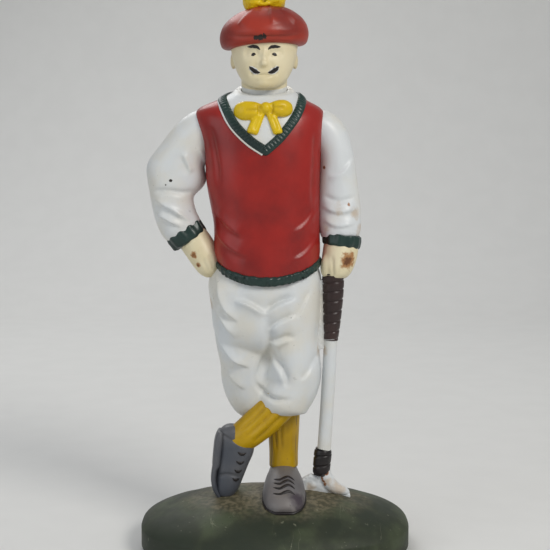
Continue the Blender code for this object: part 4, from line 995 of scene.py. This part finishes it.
def wound_limb(name, rows, turns, groove, sides, steps):
    """A limb with a narrow groove once per turn of a winding along it."""
    last = (len(rows) - 1) * steps

    def outline(step, point):
        angle = math.atan2(point.y, point.x)
        rise = abs(math.sin(math.pi * turns * step / last + angle / 2))
        return point * (1 - groove * max(1 - rise / GROOVE_SHARE, 0.0))

    return new_piece(name, limb(rows, sides=sides, steps=steps, outline=outline))


grip = wound_limb("grip", GRIP, turns=7.5, groove=0.14, sides=40, steps=32)
dress_figure(grip, grip_paint, "bare_iron")
shaft = new_piece("shaft", limb(SHAFT))
dress_figure(shaft, white_paint, "white_enamel")
wrap = wound_limb("neck_wrap", NECK_WRAP, turns=4, groove=0.10, sides=36, steps=16)
dress_figure(wrap, ink_paint, "bare_iron")
club_head = cast("club_head", [limb(CLUB_FOOT)], grain=0.7, rubs=4)
dress_figure(club_head, web_paint, "white_enamel")
web = cast("casting_web", [limb(WEB, steps=2, outline=squared(6.0)), box_shape(*GRIP_BRIDGE)],
           grain=0.6, rubs=2)
roughen(web, 4.5, 0.5)
roughen(web, 1.4, 0.35)
dress_figure(web, web_paint, "white_enamel")

# %% [markdown]
# ## Knitted edges
# The vest has a dark knitted edge round the neck opening and along the hem, and the sleeves end in knitted
# cuffs. The edges lie on a curved skin, so each band looks up the nearest point of that skin for every step
# of its guide and takes the skin's normal as its own up direction. Ribs are a wave in the band's height.

# %% Lay bands on a skin
BAND_ROUNDNESS, BAND_SIDES = 2.6, 20
TAPER_END, TAPER_POWER = 0.05, 0.6


def skin_tree(piece):
    """A search tree over a piece's skin."""
    shape = bmesh.new()
    shape.from_mesh(piece.data)
    tree = BVHTree.FromBMesh(shape)
    shape.free()
    return tree


def lay_band(name, carrier, guide, width, height, ribs=None, closed=False, steps=40, taper=False):
    """A band along a guide, laid on a carrier's skin; ribs is (pitch, slant, depth, sideways lean)."""
    tree = skin_tree(carrier)
    path = smooth_rows(guide + guide[:1] if closed else guide, steps)
    found = [tree.find_nearest(spot(*row))[:2] for row in path]
    places = [place for place, _ in found]
    spread = 3 * len(path) // len(guide) // 4
    normals = [sum((found[min(max(i + k, 0), len(found) - 1)][1] for k in range(-spread, spread + 1)),
                   Vector()).normalized() for i in range(len(found))]
    if closed:
        places, normals = places[:-1], normals[:-1]
    run, rings = [0.0], []
    for near, far in zip(places, places[1:]):
        run.append(run[-1] + (far - near).length / MM)
    for index, (place, normal) in enumerate(zip(places, normals)):
        near = places[index - 1] if index or closed else place
        far = places[(index + 1) % len(places)] if index + 1 < len(places) or closed else place
        forward = (far - near).normalized()
        thin = max(math.sin(math.pi * run[index] / run[-1]), TAPER_END) ** TAPER_POWER if taper else 1.0
        across = forward.cross(normal).normalized() * width / 2 * thin * MM
        rings.append(ring_matrix(place, across, normal * height * thin * MM))
    flatten = squared(BAND_ROUNDNESS)

    def ribbed(step, point):
        point = flatten(step, point)
        if ribs:
            pitch, slant, depth, lean = ribs
            turns = max(round(run[-1] / pitch), 1)
            wave = math.cos(2 * math.pi * turns * run[step] / run[-1] + slant * point.x)
            share = min(max(0.5 + lean * point.x, 0.0), 1.0) if lean else 1.0
            point = Vector((point.x, point.y * (1 + depth * share * wave), 0))
        return point

    return new_piece(name, loft(rings, BAND_SIDES, ribbed, closed))


# %% Tie the laces
LACES = [[(-0.8, y + 1, z - 0.6), (3, y - 1.6, z), (7.6, y + 1.6, z), (11.8, y - 1, z - 0.6)]
         for y, z in ((-20.5, 35.2), (-24, 33.6), (-27.5, 31.6), (-31, 29))]
TOE_LACES = [[(x - 4.2, -20, z + 0.8), (x - 1.4, -20, z - 0.8), (x + 1.4, -19, z)]
             for x, z in ((-18.2, 50.5), (-19.2, 45), (-20.2, 39.6), (-21.4, 34.4))]
for name, shoe, guides, width, height in (("lace", standing_shoe, LACES, 2.1, 0.6),
                                          ("toe_lace", toe_shoe, TOE_LACES, 1.8, 0.55)):
    for index, guide in enumerate(guides):
        lace = lay_band(f"{name}_{index + 1}", shoe, guide, width, height, steps=12, taper=True)
        dress_figure(lace, ink_paint, "white_enamel")

# %% Knit the vest's edges
NECK_EDGE = [
    (-5.6, -29, 231.3), (-14, -28, 236.8), (-22.4, -26, 245), (-28, -19, 254), (-30.4, -7, 261),
    (-26, 7, 263), (-18, 16, 262), (-6.4, 19.5, 261), (5, 16, 262), (13.2, 7, 263), (15.8, -7, 262),
    (13.6, -19, 254), (8.6, -25.5, 246), (2.2, -28, 238.2),
]
NECK_WIDTH = 5.6
neck_edge = lay_band("neck_edge", trunk, NECK_EDGE, NECK_WIDTH, 1.2, (2.2, 0.9, 0.32, 0.8), True, steps=48)
dress_figure(neck_edge, trim_paint, "green_enamel")

PIPING = [(x - 0.55, y, z - 0.5) for x, y, z in NECK_EDGE[:5]]
piping = lay_band("neck_piping", trunk, PIPING, NECK_WIDTH, 0.8)
dress_figure(piping, white_paint, "white_enamel")

HEM_X, HEM_HALF_WIDTH, HEM_HALF_DEPTH = -4, 31, 30
HEM_POINTS, HEM_WIDTH, HEM_LIFT = 24, 5.6, 0.42


def hem_point(angle):
    """A point near the vest's lower edge, for the band to look up."""
    x = HEM_X + HEM_HALF_WIDTH * math.cos(angle)
    return x, HEM_HALF_DEPTH * math.sin(angle), hem_z(x) + HEM_WIDTH * HEM_LIFT


HEM_BAND = [hem_point(2 * math.pi * index / HEM_POINTS) for index in range(HEM_POINTS)]
hem = lay_band("hem_band", trunk, HEM_BAND, HEM_WIDTH, 1.5, (4.2, 0.5, 0.12, 0.0), True, steps=32)
roughen(hem, 2.4, 0.5)
dress_figure(hem, trim_paint, "green_enamel")

# %% Knit the cuffs
CUFF_ON_HIP = [
    (-55.7, -2, 184.6, 9, 10.2), (-55.1, -2, 183.6, 10.8, 11.8), (-53, -2.3, 180.5, 11, 11.7),
    (-51, -2.5, 177.5, 10.6, 11.2), (-50.3, -2.6, 176.4, 9, 9.4),
]
CUFF_WITH_CLUB = [
    (40.5, -3.6, 181.8, 9.4, 10.2), (40.3, -3.6, 180.6, 10.9, 11.4), (39.9, -3.9, 177.6, 11.2, 11.6),
    (39.4, -4.1, 174.6, 10.9, 11.2), (39.2, -4.2, 173.4, 9.4, 9.8),
]
CUFF_RIBS, RIB_DEPTH = 11, 0.028


def cuff_ribs(step, point):
    return point * (1 + RIB_DEPTH * math.cos(CUFF_RIBS * math.atan2(point.y, point.x)))


for name, rows in (("cuff_on_hip", CUFF_ON_HIP), ("cuff_with_club", CUFF_WITH_CLUB)):
    cuff = new_piece(name, limb(rows, sides=CUFF_RIBS * 10, steps=6, outline=cuff_ribs))
    roughen(cuff, 4.0, 0.4)
    dress_figure(cuff, trim_paint, "green_enamel")

# %% [markdown]
# ## Bow tie
# Two puffed lobes, a knot between them and two short tails. Each is a small limb bulk, and melting them
# together gives the soft joints that a sand casting has.

# %% Tie the bow
LEFT_LOBE = [
    (-7, -24, 255.4, 2.8, 2.6), (-11.6, -25, 254.8, 4.2, 4.8), (-17.4, -24.4, 254, 4.2, 5.8),
    (-21.8, -22.4, 253.8, 3, 4.6), (-23.3, -21.4, 253.8, 1.2, 2.2),
]
RIGHT_LOBE = [
    (-3.8, -24, 255.8, 2.8, 2.6), (0.6, -25, 255.8, 4.2, 4.5), (5, -24.3, 255.6, 4, 5),
    (8.2, -22.4, 255.4, 2.8, 3.8), (9.4, -21.4, 255.4, 1.2, 1.9),
]
LEFT_TAIL = [
    (-7.6, -24.6, 254, 2.2, 2.4), (-10.6, -26.3, 248.2, 2.4, 3.2), (-13, -27.8, 242.4, 2.2, 3.4),
    (-13.5, -28.2, 241, 1.2, 2.6),
]
RIGHT_TAIL = [
    (-3.4, -24.6, 254, 2.2, 2.4), (-0.8, -26.4, 248.2, 2.4, 2.8), (1.4, -27.9, 242.4, 2.2, 2.9),
    (1.8, -28.3, 241, 1.2, 2.3),
]
bow_tie = cast("bow_tie", [*[limb(rows) for rows in (LEFT_LOBE, RIGHT_LOBE, LEFT_TAIL, RIGHT_TAIL)],
                           egg((-5.4, -24.8, 255.8), (3.6, 4.2, 3.6))], grain=0.5, rubs=3)
carve(bow_tie, front=[
    (1.2, -1, 0.2, (-8.8, 255.6), (-13, 254.8), (-18, 254.6)),
    (1.2, -1, 0.2, (-2, 255.8), (2, 255.8), (6, 256)),
    (0.9, -1.5, 0, (-9.2, 259.2), (-8.9, 255.6), (-9.2, 251.6)),
    (0.9, -1.5, 0, (-1.6, 259.2), (-1.9, 255.6), (-1.6, 251.6)),
    (1, -0.8, 0.2, (-9.2, 251), (-11, 247.4), (-12.4, 243)),
    (1, -0.7, 0.2, (-2, 251), (-0.4, 247.4), (1, 243)),
])
dress_figure(bow_tie, tie_paint, "yellow_enamel")

# %% [markdown]
# ## Head
# The head turns on a pin inside the collar, so neck, head, cap and pompon all ride on the nodding body. The
# face is a plain calm one on drawing-book proportions: the eyes halfway up the head, the nose a third of
# the way from brow to chin and the mouth below it. Brows, eyes and moustache are thin painted strokes.

# %% Shape the head
NECK = sharing(
    1, NECK_X, (243, 13.2, 12, 12.5), (256, 13.4, 12, 12.5), (282, 13.8, 12.2, 12.5))
SKULL = sharing(
    1, NECK_X, (267.6, 6, 18.6, -6), (269, 9.5, 19.8, -1), (272.5, 13.4, 20.8, 7), (280, 17.2, 20.8, 15),
    (290, 19.6, 20.6, 18.5), (298, 20.2, 20.2, 20.2), (303, 19, 19, 19), (308, 8, 8, 8))
HEAD_TAIL = ((-9.1, 0, 243), (8.9, 13.5, 247))
PIN_Z, PIN_HOLE = 256, 2.0
head = cast("head_cast", [
    upright(NECK, sides=40), upright(SKULL, sides=48, roundness=2.2), box_shape(*HEAD_TAIL),
    egg((NECK_X, -20.2, 281.6), (2.5, 3.4, 2.6)), egg((NECK_X, -19.6, 285.5), (1.7, 2.6, 5.4)),
    egg((NECK_X, -17.6, 270.6), (5.2, 4.2, 3.6)),
    *[egg((NECK_X + side * 18.4, 3.5, 284.0), (1.8, 3.6, 5.0)) for side in (-1, 1)],
], grain=0.7, rubs=4)
LIDS_AND_CHEEKS = [
    (2.4, -1.4, (12, 288), (7, 287.4), (2.4, 287.8)), (1.4, 0.8, (11, 287), (7, 286.8), (3.4, 287)),
    (1, -0.6, (3.8, 282), (6.4, 278), (7.6, 274)),
]
MOUTH = [(0.8, -0.8, (-6, 275.4), (0, 274.8), (6, 275.4)), (1, 0.6, (-5, 273.2), (0, 272.8), (5, 273.2))]
carve(head, front=[(width, depth, 0, *[(NECK_X + side * x, z) for x, z in path])
                   for side, strokes in ((-1, LIDS_AND_CHEEKS), (1, LIDS_AND_CHEEKS), (1, MOUTH))
                   for width, depth, *path in strokes])
cut(head, tube_shape((-40, 0, PIN_Z), (30, 0, PIN_Z), PIN_HOLE, 24))
dress(head, head_paint, "nodding_head", "flesh_enamel", "head")

# %% Paint the features
FACE_Y = -24
BROW = ((3.4, 289.4), (7.4, 290.8), (12, 289.6))
EYE_LID = ((5.2, 287), (7.2, 287.5), (9.2, 286.8))
WHISKER = ((2.6, 275.8), (6.4, 276.8), (11.2, 279.6))
for side, label in ((-1, "left"), (1, "right")):
    for part, path, width, height, coat in (
            ("brow", BROW, 1.9, 0.32, ink_paint), ("eye", EYE_LID, 1.9, 0.32, ink_paint),
            ("moustache_edge", WHISKER, 3.9, 0.22, white_paint),
            ("moustache", WHISKER, 2.6, 0.5, ink_paint)):
        guide = [(NECK_X + side * x, FACE_Y, z) for x, z in path]
        stroke = lay_band(f"{part}_{label}", head, guide, width, height, steps=12, taper=True)
        dress(stroke, coat, "nodding_head", "flesh_enamel")

# %% [markdown]
# ## Cap and pompon
# A soft flat cap with a rolled lower edge and a two-lobed pompon on top. Shallow folds run from the pompon
# to the edge. The pompon's wool is two sizes of noise pressed into its skin.

# %% Shape the cap
CAP = [(z, NECK_X, radius, radius, radius) for z, radius in (
    (293, 20.4), (293.4, 22.6), (295.4, 25.2), (299.3, 26.4), (303.2, 25.4), (307, 23), (310.4, 19.2),
    (313.4, 14), (315.8, 6))]
CAP_RADIUS, CAP_DROOP, CAP_TILT = 26.4, 2.6, 0.06
DROOP_TOP, DROOP_SPAN = 303, 8
cap_bulk = upright(CAP, sides=64)
for vertex in cap_bulk.verts:
    aside = (vertex.co.x / MM - NECK_X) / CAP_RADIUS
    share = min(max((DROOP_TOP + SKIRT - vertex.co.z / MM) / DROOP_SPAN, 0.0), 1.0)
    vertex.co.z += (CAP_TILT * CAP_RADIUS * aside - CAP_DROOP * aside ** 2 * share) * MM
cap = cast("tam", [cap_bulk], grain=0.7, rubs=3)
carve(cap, front=[
    (1.8, -1.2, 0.3, (19, 300.5), (8, 297.4), (-6.4, 296.8), (-20, 297.4), (-32, 300)),
    (3, 1.2, 0.6, (-11, 315), (-17, 309), (-22, 303)),
    (3, 1, 0.6, (-4, 315), (-3, 309), (-2, 303)),
    (3, 1.2, 0.6, (1, 314), (8, 308), (12, 303)),
], back=[
    (3, 1, 0.6, (-10, 315), (-15, 309), (-20, 303)),
    (3, 1, 0.6, (0, 315), (5, 309), (10, 302)),
    (1.8, -1, 0.3, (-30, 300), (-20, 298), (-6, 297.4), (8, 298.2), (17, 300)),
])
dress(cap, cap_paint, "nodding_head", "red_enamel", "cap")

# %% Roll the pompon
pompon = cast("pompon_wool", [egg((NECK_X - 5.8, 0, 319.6), (6.8, 10.0, 8.6), (8, "Y")),
                              egg((NECK_X + 5.8, 0, 320.0), (6.8, 10.0, 8.6), (-8, "Y")),
                              egg((NECK_X, 0, 316.6), (10.5, 10.0, 3.0))], grain=0.5, rubs=2)
CLEFT = [(1.3, -1.4, 0, (NECK_X, 330), (NECK_X, 323), (NECK_X, 315))]
carve(pompon, CLEFT, CLEFT)
roughen(pompon, 2.6, 0.5)
roughen(pompon, 0.9, 0.25)
dress(pompon, tie_paint, "nodding_head", "yellow_enamel", "pompon")

# %% [markdown]
# ## Bare metal
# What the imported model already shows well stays: the base plate, the screws, pins and the lever works.
# They only get a real metal finish, darker and rougher for cast iron, brighter for turned steel.

# %% Finish the iron and steel
def bare_metal(name, clean, dull, rough):
    material, shader, coords = paint(name)
    patch = coords.noise(120, 4).rise(0.35, 0.7)
    plug(patch.between(clean, dull), shader["Base Color"])
    plug(patch * 0.25 + rough, shader["Roughness"])
    plug(0.9 - patch * 0.5, shader["Metallic"])
    plug(coords.node("Bump", {}, {"Strength": 0.3, "Distance": 0.4 * MM, "Height": coords.noise(500, 3)}),
         shader["Normal"])
    return material


iron = bare_metal("bare_iron_worn", srgb(92, 88, 84), srgb(70, 52, 40), 0.42)
steel = bare_metal("steel_dull", srgb(168, 168, 170), srgb(104, 92, 82), 0.30)
IRON_NODES = ("base_plate", "lever")
replaced = {"base_dome", "head", "cap", "pompon", *FIGURE}
for name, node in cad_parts.items():
    if name not in replaced:
        node.data.materials.clear()
        node.data.materials.append(iron if name in IRON_NODES else steel)
print("bare metal nodes:", len(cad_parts) - len(replaced))

# %% [markdown]
# ## Floor paint
# The floor is a pale matt sheet with a hint of paper grain.

# %% Paint the floor
floor_paint, floor_shader, floor_coords = paint("floor_paper")
plug(floor_coords.noise(30, 3).rise(0.3, 0.7).between(srgb(216, 216, 214), srgb(218, 218, 216)),
     floor_shader["Base Color"])
floor_shader["Roughness"].default_value = 0.85
floor.data.materials.append(floor_paint)
